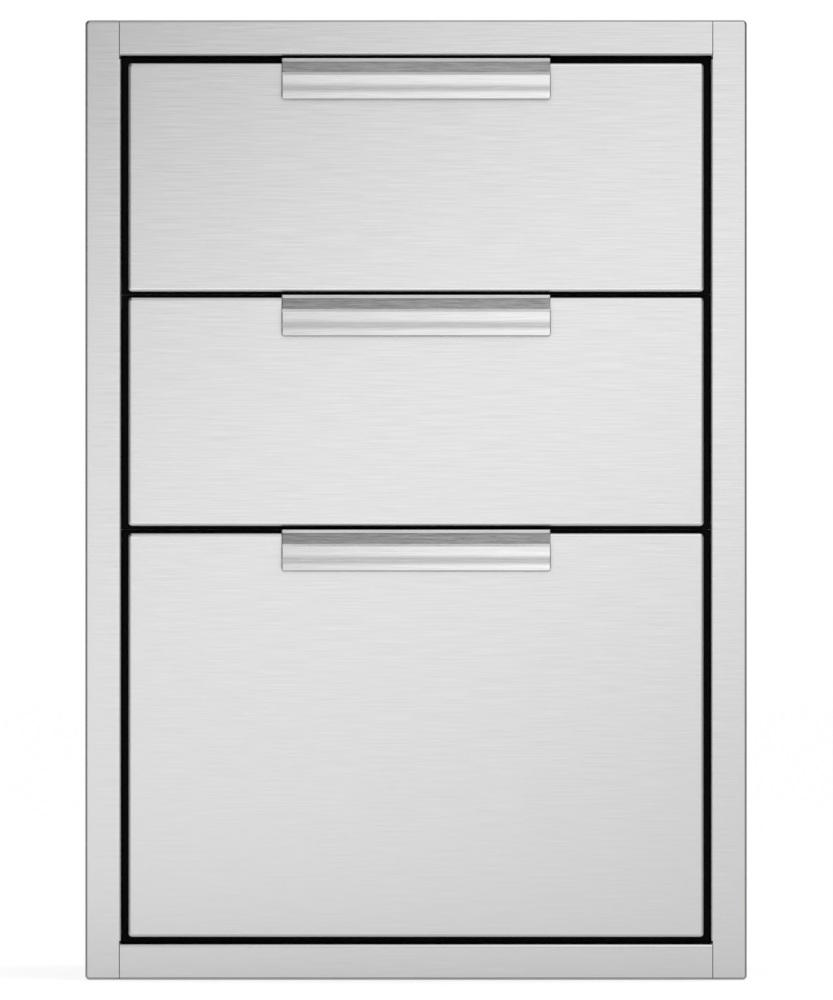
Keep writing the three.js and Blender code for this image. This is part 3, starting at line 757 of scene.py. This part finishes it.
# %% Stiles and rails
STILE_FOLD = 1.5
RAIL_FOLD_IN = 2.0
SEAM = 0.38
SEAM_EDGE = 0.2
SEAM_EDGE_STEPS = 2
RELIEF_HEIGHT = 1.7
SEAM_X = OPENING_HALF_WIDTH + FRAME_SHEET
NEAR = 0.01
FAR = 400
ENDS = (("bottom", -1), ("top", 1))


def is_rim_shade(face):
    """True on the fold at the outer edge of the frame, and on the one under the top rail: where the darkest
    painted shade goes.
    """
    from_side = FRAME_HALF_WIDTH - abs(face.center.x) / MILLIMETRE
    from_end = FRAME_HALF_HEIGHT - abs(face.center.z / MILLIMETRE - FRAME_MIDDLE)
    return is_tilted(face) and (min(from_side, from_end) < FRAME_FOLD or face.normal.z < DOWNWARD)


def break_seam(piece, seam_x):
    """Rounds the edges that show at a seam: they are straight, at the front, and in the seam's plane."""
    solid = bmesh.new()
    solid.from_mesh(piece.data)
    edges = []
    for edge in solid.edges:
        ends = [vertex.co / MILLIMETRE for vertex in edge.verts]
        in_seam = all(abs(abs(end.x) - seam_x) < NEAR for end in ends)
        at_front = all(end.y < stile_low.y + NEAR for end in ends)
        if in_seam and at_front and edge.calc_length() > MILLIMETRE:
            edges.append(edge)
    bmesh.ops.bevel(solid, geom=edges, offset=SEAM_EDGE * MILLIMETRE, segments=SEAM_EDGE_STEPS,
                    affect="EDGES", profile=HALF)
    solid.to_mesh(piece.data)
    solid.free()


def finish_strip(strip, seam_x, node):
    break_seam(strip, seam_x)
    # The folds get a darker tone: painted shade.
    refinish(strip, edge_painted_shade, is_tilted)
    # The outer rim and the fold under the top rail get the darkest painted shade.
    refinish(strip, rim_painted_shade, is_rim_shade)
    stand_for(strip, node)


for hand, side in HANDS:
    stile = whole_frame(f"frame_stile_{hand}", STILE_FOLD)
    edge = SEAM_X + SEAM / 2
    reach = OPENING_HALF_HEIGHT - RELIEF_HEIGHT
    for name, end in ENDS:
        upright = (FRAME_MIDDLE + end * reach, FRAME_MIDDLE + end * FAR)
        cut(stile, add_block((-side * FAR, side * edge), (-FAR, FAR), upright))
    cut(stile, add_block((-side * FAR, side * OPENING_HALF_WIDTH / 2), (-FAR, FAR), (-FAR, 2 * FAR)))
    finish_strip(stile, edge, f"stile_{hand}")

for name, end in ENDS:
    rail = whole_frame(f"frame_rail_{name}", RAIL_FOLD_IN)
    edge = SEAM_X - SEAM / 2
    upright = (FRAME_MIDDLE + end * (OPENING_HALF_HEIGHT - SEAM / 2), FRAME_MIDDLE + end * FAR)
    cut(rail, add_block((-edge, edge), (-FAR, FAR), upright), "INTERSECT")
    finish_strip(rail, edge, f"rail_{name}")

# %% [markdown]
# ## Tabs and sealant behind the seams
#
# The strips meet without overlapping, so a small plate is welded behind each seam and holds them together. A
# thin bead of black sealant fills the seam from behind, a little below the surface, and keeps the rain out.
# That is why a seam shows as a dark hairline. The bead ends in a plug that closes the notch in the corner.

# %% Seam tabs and sealant
TAB_HALF_WIDTH = 6.0
TAB_SETBACK = 3.0
TAB_SHEET = 1.0
TAB_CORNER = 1.5
TAB_CLEARANCE = 0.03
SEALANT_DEPTH = 0.3
SEALANT_BODY = 0.5
SEALANT_CLEARANCE = 0.02
PLUG_DEPTH = 0.9
PLUG_LENGTH = 5.0
PLUG_CORNER = 0.2


def plate_rings(middle, half_width, half_height, corner, front, back):
    """Rings of a plate with broken edges, round a middle in X and Z."""
    profile = [(BROKEN_EDGE, front), (0, front + BROKEN_EDGE), (0, back - BROKEN_EDGE), (BROKEN_EDGE, back)]
    rings = rings_along(profile, half_width, half_height, corner, middle[1])
    return [[(x + middle[0], y, z) for x, y, z in one] for one in rings]


def sealant_bead(centre_x, end):
    """Follows the frame's section inside the seam: behind the face, and down the outer flange."""
    front, outer_fold = stile_low.y, (FRAME_FOLD, stile_low.y + FRAME_FOLD)
    deep = SEALANT_DEPTH + SEALANT_BODY
    loop = [(SEALANT_DEPTH, -SEALANT_DEPTH)] + arc(outer_fold, FRAME_FOLD - SEALANT_DEPTH, -180, -90)
    loop += [(BORDER - deep, front + SEALANT_DEPTH), (BORDER - deep, front + deep)]
    loop += arc(outer_fold, FRAME_FOLD - deep, -90, -180) + [(deep, -SEALANT_DEPTH)]
    half = SEAM / 2 - SEALANT_CLEARANCE
    high = [(y, FRAME_MIDDLE + end * (FRAME_HALF_HEIGHT - inset)) for inset, y in loop]
    return loft([[(x, y, z) for y, z in high] for x in (centre_x - half, centre_x + half)])


tab_half_height = BORDER / 2 - TAB_SETBACK
tab_front = stile_low.y + FRAME_SHEET + TAB_CLEARANCE
plug_front = stile_low.y + PLUG_DEPTH
plug_half_width = (FRAME_SHEET + SEAM / 2) / 2 - SEALANT_CLEARANCE
plug_half_height = (RELIEF_HEIGHT - SEAM / 2) / 2 - SEALANT_CLEARANCE
plug_x = OPENING_HALF_WIDTH + (FRAME_SHEET + SEAM / 2) / 2
plug_z = OPENING_HALF_HEIGHT - (RELIEF_HEIGHT + SEAM / 2) / 2
frame_body = frame["nodes"]["stile_left"]["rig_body"]
for name, end in ENDS:
    for hand, side in HANDS:
        middle = (side * SEAM_X, FRAME_MIDDLE + end * (OPENING_HALF_HEIGHT + BORDER / 2))
        back = tab_front + TAB_SHEET
        tab = plate_rings(middle, TAB_HALF_WIDTH, tab_half_height, TAB_CORNER, tab_front, back)
        dress(add_mesh(f"seam_tab_{name}_{hand}", *loft(tab), sheet_steel), frame_body)
        middle = (side * plug_x, FRAME_MIDDLE + end * plug_z)
        back = plug_front + PLUG_LENGTH
        plug = plate_rings(middle, plug_half_width, plug_half_height, PLUG_CORNER, plug_front, back)
        lofts = [sealant_bead(side * SEAM_X, end), loft(plug)]
        dress(join_lofts(f"seam_sealant_{name}_{hand}", lofts, seal_rubber), frame_body)
print("seam tabs:", round(2 * tab_half_height, 1), "mm high")

# %% [markdown]
# ## Walks
#
# Everything else here is a strip of sheet seen edge on. A walk follows the strip's middle line along straight
# runs and arcs, as a bending machine works through a strip, and the outline is then set off to both sides.
# The outline is pushed along the third axis, with its edges broken a little at both ends.

# %% Walks along a strip
def walk(start, heading, moves):
    """Stations of place and heading. A positive turn bears left."""
    a, b = start
    angle = math.radians(heading)
    stations = [(a, b, angle)]
    for move in moves:
        if "run" in move:
            a += move["run"] * math.cos(angle)
            b += move["run"] * math.sin(angle)
            stations.append((a, b, angle))
            continue
        steps = move.get("steps", FOLD_STEPS)
        turn = math.radians(move["turn"]) / steps
        bend = math.copysign(move["radius"], turn)
        for step in range(steps):
            a += bend * (math.sin(angle + turn) - math.sin(angle))
            b += bend * (math.cos(angle) - math.cos(angle + turn))
            angle += turn
            stations.append((a, b, angle))
    return stations


def beside(stations, distance):
    return [(a - distance * math.sin(t), b + distance * math.cos(t)) for a, b, t in stations]


def shifted(station, along):
    a, b, angle = station
    return (a + along * math.cos(angle), b + along * math.sin(angle), angle)


def strip_outline(stations, sheet, inset=0.0):
    """Both faces of the sheet, with a small chamfer at each cut end."""
    first, last = stations[0], stations[-1]
    trimmed = [shifted(first, inset + BROKEN_EDGE)] + stations[1:-1] + [shifted(last, -inset - BROKEN_EDGE)]
    half = sheet / 2 - inset
    left, right = beside(trimmed, half), beside(trimmed, -half)
    far = [beside([shifted(last, -inset)], side * (half - BROKEN_EDGE))[0] for side in (1, -1)]
    near = [beside([shifted(first, inset)], side * (half - BROKEN_EDGE))[0] for side in (-1, 1)]
    return left + far + right[::-1] + near


# %% Pushing an outline out
AXES = "xyz"


def push_out(name, node, outline_at, distances, placing, material):
    """Pushes an outline out between the ends of a CAD node. outline_at gives it at a distance from an end.
    placing says on which two axes it is drawn, where it starts on them, and which way it runs."""
    axes, origin, ways = placing
    first, second = (AXES.index(axis) for axis in axes)
    (third,) = {0, 1, 2} - {first, second}
    start, end = (corner[third] for corner in box_of(node))
    levels = [(start + distance, distance) for distance in distances]
    levels += [(end - distance, distance) for distance in reversed(distances)]
    rings = []
    for level, distance in levels:
        ring = []
        for a, b in outline_at(distance):
            point = [level] * 3
            point[first] = origin[0] + ways[0] * a
            point[second] = origin[1] + ways[1] * b
            ring.append(point)
        rings.append(ring)
    return add_mesh(name, *loft(rings), material)


def push_strip(name, node, stations, sheet, placing, material):
    """Pushes out a strip of sheet along its walk, with the edges of its cut ends broken."""
    def outline_at(distance):
        return strip_outline(stations, sheet, max(BROKEN_EDGE - distance, 0))

    return push_out(name, node, outline_at, (0, BROKEN_EDGE), placing, material)


# %% [markdown]
# ## Pulls
#
# Each pull is one bent profile, sawn to length, with its ends rounded. A plate lies on the front, an arm runs
# forward and down, a tight bend turns it into the lip, and the lip ends in a gentle outward flare. All the
# light on a pull comes from this curve, so its bends are fine and its long edges are filleted. Near each end
# the lip is drawn a little shorter, which rounds its two corners.

# %% Section of a pull
PULL_PLATE = 3.0
PULL_WALL = 2.0
PULL_TOP_STRIP = 2.0
PULL_ARM = 15.0
PULL_ARM_SLOPE = 27.0
PULL_BEND_RADIUS = 5.3
PULL_LIP_LEAN = 25.0
PULL_NOSE_RADIUS = 17.6
PULL_FLARE_RADIUS = 16.8
PULL_FLARE_LEAN = 22.0
PULL_PLATE_HEIGHT = 20.0
PULL_BEND_STEPS = 14
PULL_END_ROUND = 0.6
PULL_LIP_CORNER = 1.6
PULL_TIP_ROUND = 0.3
PULL_CORNER = 0.6
PULL_ROOT = 1.5
FILLET_STEPS = 6
HIDDEN_STEPS = 2


def fillet(before, corner, after, radius, steps=FILLET_STEPS):
    """An arc that rounds the corner between two straight edges."""
    corner = Vector(corner)
    back, on = (Vector(before) - corner).normalized(), (Vector(after) - corner).normalized()
    half = back.angle(on) / 2
    centre = corner + (back + on).normalized() * radius / math.sin(half)
    start = corner + back * radius / math.tan(half) - centre
    end = corner + on * radius / math.tan(half) - centre
    sweep = start.angle_signed(end)
    turns = [Matrix.Rotation(-sweep * step / steps, 2) @ start for step in range(steps + 1)]
    return [tuple(centre + turn) for turn in turns]


def rounded_away(radius, distance):
    """How far a rounded edge lies inside the square one, at a distance from the end."""
    left = max(radius - distance, 0)
    return radius - math.sqrt(radius * radius - left * left)


def pull_stations(trim):
    flare = PULL_FLARE_LEAN - math.degrees(trim / PULL_FLARE_RADIUS)
    bends = ((PULL_BEND_RADIUS, PULL_ARM_SLOPE + PULL_LIP_LEAN - 90), (PULL_NOSE_RADIUS, -PULL_LIP_LEAN),
             (PULL_FLARE_RADIUS, flare))
    moves = [{"run": PULL_ARM}] + [{"radius": r, "turn": turn, "steps": PULL_BEND_STEPS} for r, turn in bends]
    return walk((PULL_PLATE, -PULL_TOP_STRIP), -PULL_ARM_SLOPE, moves)


def pull_outline(distance):
    """Seen from the side: how far in front of the drawer front, and how far above the pull's top edge."""
    inset = rounded_away(PULL_END_ROUND, distance)
    stations = pull_stations(rounded_away(PULL_LIP_CORNER, distance))
    last = shifted(stations[-1], -inset)
    shown = beside(stations[1:-1], -inset)
    hidden = beside(stations[1:-1], inset - PULL_WALL)
    tip_round = max(PULL_TIP_ROUND - inset, LEAST_RADIUS)
    tip_high = beside([last], -inset)[0]
    tip_low = beside([last], inset - PULL_WALL)[0]
    tip = fillet(shown[-1], tip_high, tip_low, tip_round) + fillet(tip_high, tip_low, hidden[-1], tip_round)
    slope = math.radians(PULL_ARM_SLOPE)
    front, bottom, top = PULL_PLATE - inset, inset - PULL_PLATE_HEIGHT, -inset
    arm_top = (front, -PULL_TOP_STRIP - inset / math.cos(slope) + inset * math.tan(slope))
    arm_under = (front, -PULL_TOP_STRIP + (inset - PULL_WALL) / math.cos(slope) + inset * math.tan(slope))
    corner = max(PULL_CORNER - inset, LEAST_RADIUS)
    root = fillet(hidden[0], arm_under, (front, bottom), PULL_ROOT + inset)
    foot = fillet(arm_under, (front, bottom), (inset, bottom), corner)
    heel = fillet((front, bottom), (inset, bottom), (inset, top), LEAST_RADIUS, HIDDEN_STEPS)
    back = fillet((inset, bottom), (inset, top), (front, top), LEAST_RADIUS, HIDDEN_STEPS)
    brow = fillet((inset, top), (front, top), arm_top, corner)
    return shown + tip + hidden[::-1] + root + foot + heel + back + brow + [arm_top]


# %% Pulls
PULL_END_STEPS = 10
TILT_MARGIN = 1
ARM_TILT = math.sin(math.radians(90 - TILT_MARGIN - PULL_ARM_SLOPE))
ARM_FORWARD = -0.25
BEND_TILT = 0.55
CREASE_TILT = 0.62
END_TILT = 0.15
TIP_TILT = -0.6
TIP_HEIGHT = 1.3
OVERCUT = 1.2


def is_arm(face):
    return face.normal.z > ARM_TILT and face.normal.y < ARM_FORWARD and abs(face.normal.x) < END_TILT


def is_bend(face):
    return BEND_TILT < face.normal.z < ARM_TILT and face.normal.y < 0 and abs(face.normal.x) < END_TILT


def is_crease(face):
    return CREASE_TILT < face.normal.z and is_bend(face)


def is_rounded_end(face):
    at_tip = face.normal.z < TIP_TILT and face.center.z / MILLIMETRE < low.z + TIP_HEIGHT
    return END_TILT < abs(face.normal.x) < FOLD_TILT or at_tip


quarter_turns = [math.radians(90) * step / PULL_END_STEPS for step in range(PULL_END_STEPS + 1)]
distances = [PULL_LIP_CORNER * (1 - math.cos(turn)) for turn in quarter_turns]
for prefix in PREFIXES:
    node = f"{prefix}_pull"
    low, high = box_of(node)
    placing = ("yz", (high.y, high.z), (-1, 1))
    pull = push_out(f"{prefix}_handle", node, pull_outline, distances, placing, pull_steel)
    drill_for_screws(pull, prefix, high.y - PULL_PLATE / 2, OVERCUT * PULL_PLATE)
    # The arm gets a darker tone: painted shade.
    refinish(pull, arm_streaks_and_painted_shade, is_arm)
    refinish(pull, bend_steel, is_bend)
    # On the lower pulls the crease gets a much lighter tone: a painted highlight.
    if prefix != PREFIXES[0]:
        refinish(pull, crease_painted_highlight, is_crease)
    # The rounded ends and the underside of the tip get a darker tone: painted shade.
    refinish(pull, edge_painted_shade, is_rounded_end)
    stand_for(pull, node)

# %% [markdown]
# ## Drawer boxes
#
# The floor and both sides of a drawer are one sheet, folded four times, with its top rims turned in for
# stiffness and safe fingers. The front and back walls are folded channels, spot-welded between the sides.
# Each is a folding plan: a list of runs, and a turn after each.

# %% Trays and end walls
TRAY_SHEET = 0.9
TRAY_FOLD = 1.0
RIM = 8.0


def fold_sheet(name, node, sheet, inside_radius, start, heading, runs, turns, placing):
    """A piece by its folding plan: runs are outside lengths, and turns are +1 left or -1 right."""
    moves = []
    for index, run in enumerate(runs):
        folds = (index > 0) + (index < len(turns))
        moves.append({"run": run - folds * (inside_radius + sheet)})
        if index < len(turns):
            moves.append({"radius": inside_radius + sheet / 2, "turn": 90 * turns[index]})
    return push_strip(name, node, walk(start, heading, moves), sheet, placing, sheet_steel)


for prefix in PREFIXES:
    node = f"{prefix}_drawer_tray"
    low, high = box_of(node)
    height = high.z - low.z
    start, placing = (high.x - RIM, height - TRAY_SHEET / 2), ("xz", (0, low.z), (1, 1))
    runs = [RIM, height, 2 * high.x, height, RIM]
    tray = fold_sheet(f"{prefix}_tray", node, TRAY_SHEET, TRAY_FOLD, start, 0, runs, [-1] * 4, placing)
    stand_for(tray, node)

for prefix in PREFIXES:
    for name, toward in (("front_wall", 1), ("back_wall", -1)):
        node = f"{prefix}_drawer_{name}"
        low, high = box_of(node)
        face = low.y if toward > 0 else high.y
        height = high.z - low.z
        start, placing = (0, height - TRAY_SHEET / 2), ("yz", (face + toward * RIM, low.z), (-toward, 1))
        runs = [RIM, height, RIM]
        wall = fold_sheet(f"{prefix}_{name}", node, TRAY_SHEET, TRAY_FOLD, start, 0, runs, [-1, -1], placing)
        stand_for(wall, node)

# %% [markdown]
# ## Cabinet
#
# Two side sheets have a flange at the back, and two lids hug the sides with their flanges. The unit is
# screwed to the island through the holes in its sides.

# %% Cabinet sheets
CABINET_SHEET = 1.0
CABINET_FOLD = 1.0
CABINET_FLANGE = 12.0
FIXING_RADIUS = 2.6
FIXING_SETBACK = 30.0
FIXING_LIFT = 120.0
FIXING_DROP = 30.0
FIXING_LENGTH = 8.0

for hand, side in HANDS:
    node = f"cabinet_side_{hand}"
    low, high = box_of(node)
    face = high.x if side > 0 else -low.x
    start, runs = (face - CABINET_SHEET / 2, low.y), [high.y - low.y, CABINET_FLANGE]
    panel = fold_sheet(f"side_panel_{hand}", node, CABINET_SHEET, CABINET_FOLD, start, 90, runs, [1],
                       ("xy", (0, 0), (side, 1)))
    for level in (low.z + FIXING_LIFT, high.z - FIXING_DROP):
        drill(panel, (side * face, FIXING_SETBACK, level), ALONG_X, FIXING_RADIUS, HOLE_SIDES, FIXING_LENGTH)
    stand_for(panel, node)

for name, end in ENDS:
    node = f"cabinet_{name}"
    low, high = box_of(node)
    start, runs = (high.x - CABINET_SHEET / 2, -CABINET_FLANGE), [CABINET_FLANGE, 2 * high.x, CABINET_FLANGE]
    lid = fold_sheet(f"lid_{name}", node, CABINET_SHEET, CABINET_FOLD, start, 90, runs, [1, 1],
                     ("xz", (0, low.z if end < 0 else high.z), (1, end)))
    stand_for(lid, node)

# %% [markdown]
# ## Cross rails
#
# A folded channel crosses the cabinet behind each gap between two fronts, and stops the sides from spreading.
# A tab at each end is welded to the cabinet's side.

# %% Cross rails
RAIL_SHEET = 1.2
RAIL_FOLD = 0.8

for name in ("upper", "lower"):
    node = f"divider_{name}"
    low, high = box_of(node)
    depth, height = high.y - low.y, high.z - low.z
    inset = RAIL_SHEET / 2
    start, runs = (0, height - inset), [depth, height, depth]
    channel = fold_sheet(f"cross_rail_{name}", node, RAIL_SHEET, RAIL_FOLD, start, 0, runs, [-1, -1],
                         ("yz", (high.y, low.z), (-1, 1)))
    for hand, side in HANDS:
        across = (side * high.x, side * (high.x - RAIL_SHEET))
        cut(channel, add_block(across, (low.y + inset, high.y), (low.z + inset, high.z - inset)), "UNION")
    stand_for(channel, node)

# %% [markdown]
# ## Telescopic slides
#
# Each drawer hangs on a pair of ball-bearing slides of three members. A member is a rolled channel, and the
# middle one moves half as far as the drawer.

# %% Slide members
SLIDE_SHEET = 1.2
SLIDE_FOLD = 0.8
SLIDE_LIP_TURN = 35.0
SLIDE_LIP_RADIUS = 1.4
MEMBERS = (("cabinet", 1), ("middle", 1), ("drawer", -1))


def member_walk(flange, height):
    """A channel with its web at 0, drawn from the end of one flange to the end of the other. A small lip at
    each flange's end is rolled in, which keeps the balls in their track."""
    turn = math.radians(SLIDE_LIP_TURN)
    run = {"run": flange - SLIDE_FOLD - SLIDE_SHEET - turn * SLIDE_LIP_RADIUS}
    lip = {"radius": SLIDE_LIP_RADIUS, "turn": SLIDE_LIP_TURN}
    corner = {"radius": SLIDE_FOLD + SLIDE_SHEET / 2, "turn": 90}
    web = {"run": height - 2 * (SLIDE_FOLD + SLIDE_SHEET)}
    fall = SLIDE_LIP_RADIUS * (1 - math.cos(turn))
    start = (SLIDE_LIP_RADIUS * (turn - math.sin(turn)) - flange, fall - (height - SLIDE_SHEET) / 2)
    return walk(start, -SLIDE_LIP_TURN, [lip, run, corner, web, corner, run, lip])


for prefix in PREFIXES:
    for hand, side in HANDS:
        for member, toward in MEMBERS:
            node = f"{prefix}_slide_{hand}_{member}_member"
            low, high = box_of(node)
            near, far = sorted((abs(low.x), abs(high.x)))
            origin = (side * (far if toward > 0 else near), (low.z + high.z) / 2)
            placing = ("xz", origin, (side * toward, 1))
            stations = member_walk(far - near, high.z - low.z)
            name = f"{prefix}_{hand}_{member}_channel"
            stand_for(push_strip(name, node, stations, SLIDE_SHEET, placing, zinc_steel), node)

# %% [markdown]
# ## Balls and their cages
#
# The balls run between the flanges of two neighbouring members, and a pressed cage of thin sheet holds them
# apart. A cage is a flat strip, and the balls are small spheres that stand out of it on both sides. It rolls
# at half the speed of the member that runs on it, so it is drawn on the middle member, in the half that never
# leaves the other one.

# %% Balls and cages
BALL_RADIUS = 1.6
BALL_STEPS = 6
BALL_PITCH = 14.0
CAGE_SHEET = 0.6
CAGE_HALF_WIDTH = 3.4
CAGE_MARGIN = 8.0
CAGE_SHARE = 0.46


def ball(centre):
    """Rings of points round Y, from pole to pole."""
    rings = []
    for level in range(1, BALL_STEPS):
        tilt = math.radians(180) * level / BALL_STEPS
        middle = Vector(centre) + ALONG_Y * BALL_RADIUS * math.cos(tilt)
        rings.append(circle(middle, ALONG_X, ALONG_Z, BALL_RADIUS * math.sin(tilt), 2 * BALL_STEPS))
    return loft(rings)


def add_cage(name, track_x, track_z, from_y, to_y, body):
    """A cage strip with its balls, for the upper and the lower track alike."""
    strips, balls = [], []
    count = int((to_y - from_y - 2 * CAGE_MARGIN) / BALL_PITCH) + 1
    left, right = track_x - CAGE_HALF_WIDTH, track_x + CAGE_HALF_WIDTH
    for z in track_z:
        below, above = z - CAGE_SHEET / 2, z + CAGE_SHEET / 2
        section = [(left + BROKEN_EDGE, below), (right - BROKEN_EDGE, below), (right, z)]
        section += [(right - BROKEN_EDGE, above), (left + BROKEN_EDGE, above), (left, z)]
        strips.append(loft([[(x, y, b) for x, b in section] for y in (from_y, to_y)]))
        for index in range(count):
            balls.append(ball((track_x, from_y + CAGE_MARGIN + index * BALL_PITCH, z)))
    for label, parts, finish in (("cage", strips, zinc_steel), ("balls", balls, screw_steel)):
        dress(join_lofts(f"{name}_{label}", parts, finish), body)
    return len(balls)


total_balls = 0
for prefix in PREFIXES:
    for hand, side in HANDS:
        members = (box_of(f"{prefix}_slide_{hand}_{member}_member") for member, toward in MEMBERS)
        outer, (low, high), inner = members
        level = (inner[0].z + inner[1].z) / 2
        track_x = (low.x + high.x) / 2
        reach = CAGE_SHARE * (high.y - low.y)
        rear, front = high.y - CAGE_MARGIN, low.y + CAGE_MARGIN
        outer_track = (outer[1].z - SLIDE_SHEET + high.z) / 2 - level
        inner_track = (high.z - SLIDE_SHEET + inner[1].z) / 2 - level
        for label, rise, start in (("outer", outer_track, rear - reach), ("inner", inner_track, front)):
            tracks = (level + rise, level - rise)
            name, body = f"{prefix}_{hand}_{label}", f"{prefix}_slide_middles"
            total_balls += add_cage(name, track_x, tracks, start, start + reach, body)
print("balls:", total_balls)

# %% [markdown]
# ## Spot welds
#
# Sheets that lie on one another are joined by spot welds: a shallow dimple with a low ring round it, in a row
# along each flange. A weld is a turned shape, as a rivet and a screw are, so one function lathes a small
# profile of radius and height at every place.

# %% Welds along the lids
WELD_PROFILE = ((0.0, 0.02), (1.4, 0.03), (2.0, 0.12), (2.6, 0.1), (3.0, -0.1))
WELD_SETBACK = 6.0
WELD_ENDS = 20.0
WELDS = 9
LATHE_SIDES = 20


def lathed(place, normal, profile):
    """A profile of radius and height, turned round an axis that starts at a place and points along normal."""
    axis = Vector(normal)
    across = axis.orthogonal().normalized()
    other = axis.cross(across)
    rings = []
    for radius, height in profile[::-1]:
        middle = Vector(place) + axis * height
        rings.append(circle(middle, across, other, max(radius, LEAST_RADIUS), LATHE_SIDES))
    return loft(rings)


def add_row(name, places, normal, profile, body, material):
    dress(join_lofts(name, [lathed(place, normal, profile) for place in places], material), body)
    print(name, "places:", len(places))


def spread(start, end, count):
    return [start + (end - start) * index / (count - 1) for index in range(count)]


lid_low, lid_high = box_of("cabinet_top")
floor_high = box_of("cabinet_bottom")[1]
for hand, side in HANDS:
    places = []
    for level in (lid_low.z + WELD_SETBACK, floor_high.z - WELD_SETBACK):
        places += [(side * lid_high.x, y, level) for y in spread(WELD_ENDS, lid_high.y - WELD_ENDS, WELDS)]
    add_row(f"lid_welds_{hand}", places, (side, 0, 0), WELD_PROFILE, "cabinet", weld_steel)

# %% [markdown]
# ## Cabinet back
#
# The back sheet is the rearmost face of the unit, so its welds may not stand proud of it. They are dimples
# instead, cut by one tool made of a small lens for each weld.

# %% Cabinet back
DENT_PROFILE = ((0.0, -0.28), (1.2, -0.24), (2.0, -0.12), (2.8, 0.1))
DENT_ENDS = 10.0
BACK_CORNER = 2.0

low, high = box_of("cabinet_back")
middle = (0, (low.z + high.z) / 2)
rings = plate_rings(middle, high.x, (high.z - low.z) / 2, BACK_CORNER, low.y, high.y)
back = add_mesh("back_panel", *loft(rings), sheet_steel)
levels = spread(floor_high.z + DENT_ENDS, lid_low.z - DENT_ENDS, WELDS)
places = [(side * (high.x - WELD_SETBACK), high.y, z) for side in (-1, 1) for z in levels]
cut(back, join_lofts("dents", [lathed(place, ALONG_Y, DENT_PROFILE) for place in places], sheet_steel))
refinish(back, weld_steel, is_tilted)
stand_for(back, "cabinet_back")

# %% [markdown]
# ## Rivets of the slides
#
# The drawer members are riveted to the trays, and the cabinet members to the cabinet's sides. The low round
# heads show inside the trays and on the outside of the cabinet.

# %% Rivets of the slides
RIVET_PROFILE = ((0.0, 1.1), (1.3, 1.0), (2.3, 0.7), (3.0, 0.2), (3.1, -0.1))
RIVET_FROM_END = 40.0
RIVET_FROM_FRONT = 30.0
RIVETS = 4

for prefix in PREFIXES:
    tray_low, tray_high = box_of(f"{prefix}_drawer_tray")
    for hand, side in HANDS:
        low, high = box_of(f"{prefix}_slide_{hand}_drawer_member")
        level = (low.z + high.z) / 2
        inside, outside = side * (tray_high.x - TRAY_SHEET), box_of(f"cabinet_side_{hand}")[side > 0].x
        tray_row = spread(tray_low.y + RIVET_FROM_END, tray_high.y - RIVET_FROM_END, RIVETS)
        side_row = spread(low.y + RIVET_FROM_FRONT, high.y - RIVET_FROM_END, RIVETS)
        rows = (("tray", inside, -side, tray_row, f"{prefix}_drawer"),
                ("side", outside, side, side_row, "cabinet"))
        for label, x, way, row, body in rows:
            name, places = f"{prefix}_{hand}_{label}_rivets", [(x, y, level) for y in row]
            add_row(name, places, (way, 0, 0), RIVET_PROFILE, body, screw_steel)

# %% [markdown]
# ## Screws of the pulls
#
# Two pan-head screws come from inside the front, through both of its walls, into the pull's plate. The head
# is a turned dome, with a hexagon socket cut out of it.

# %% Pull screws
HEAD_RADIUS = 3.9
HEAD_HEIGHT = 2.6
HEAD_RIM = 1.2
HEAD_CROWN = 2.6
CROWN_STEPS = 6
SHANK_RADIUS = 2.0
SOCKET_RADIUS = 1.5
SOCKET_DEPTH = 1.6
SOCKET_SIDES = 6

dome, shoulder = HEAD_HEIGHT - HEAD_RIM, HEAD_RADIUS - HEAD_CROWN
head = [(0, HEAD_HEIGHT)]
for step in reversed(range(CROWN_STEPS + 1)):
    turn = math.radians(90) * step / CROWN_STEPS
    head.append((HEAD_CROWN + shoulder * math.cos(turn), HEAD_RIM + dome * math.sin(turn)))
head += [(HEAD_RADIUS, BROKEN_EDGE), (HEAD_RADIUS - BROKEN_EDGE, 0)]
for prefix in PREFIXES:
    for hand, side in HANDS:
        node = f"{prefix}_pull_screw_{hand}"
        low, high = box_of(node)
        seat = high.y - HEAD_HEIGHT
        x, z = (low.x + high.x) / 2, (low.z + high.z) / 2
        point = low.y - seat
        shank = [(SHANK_RADIUS, 0), (SHANK_RADIUS, point + BROKEN_EDGE), (SHANK_RADIUS - BROKEN_EDGE, point)]
        screw = add_mesh(f"{prefix}_screw_{hand}", *lathed((x, seat, z), ALONG_Y, head + shank), screw_steel)
        drill(screw, (x, high.y, z), ALONG_Y, SOCKET_RADIUS, SOCKET_SIDES, 2 * SOCKET_DEPTH)
        stand_for(screw, node)
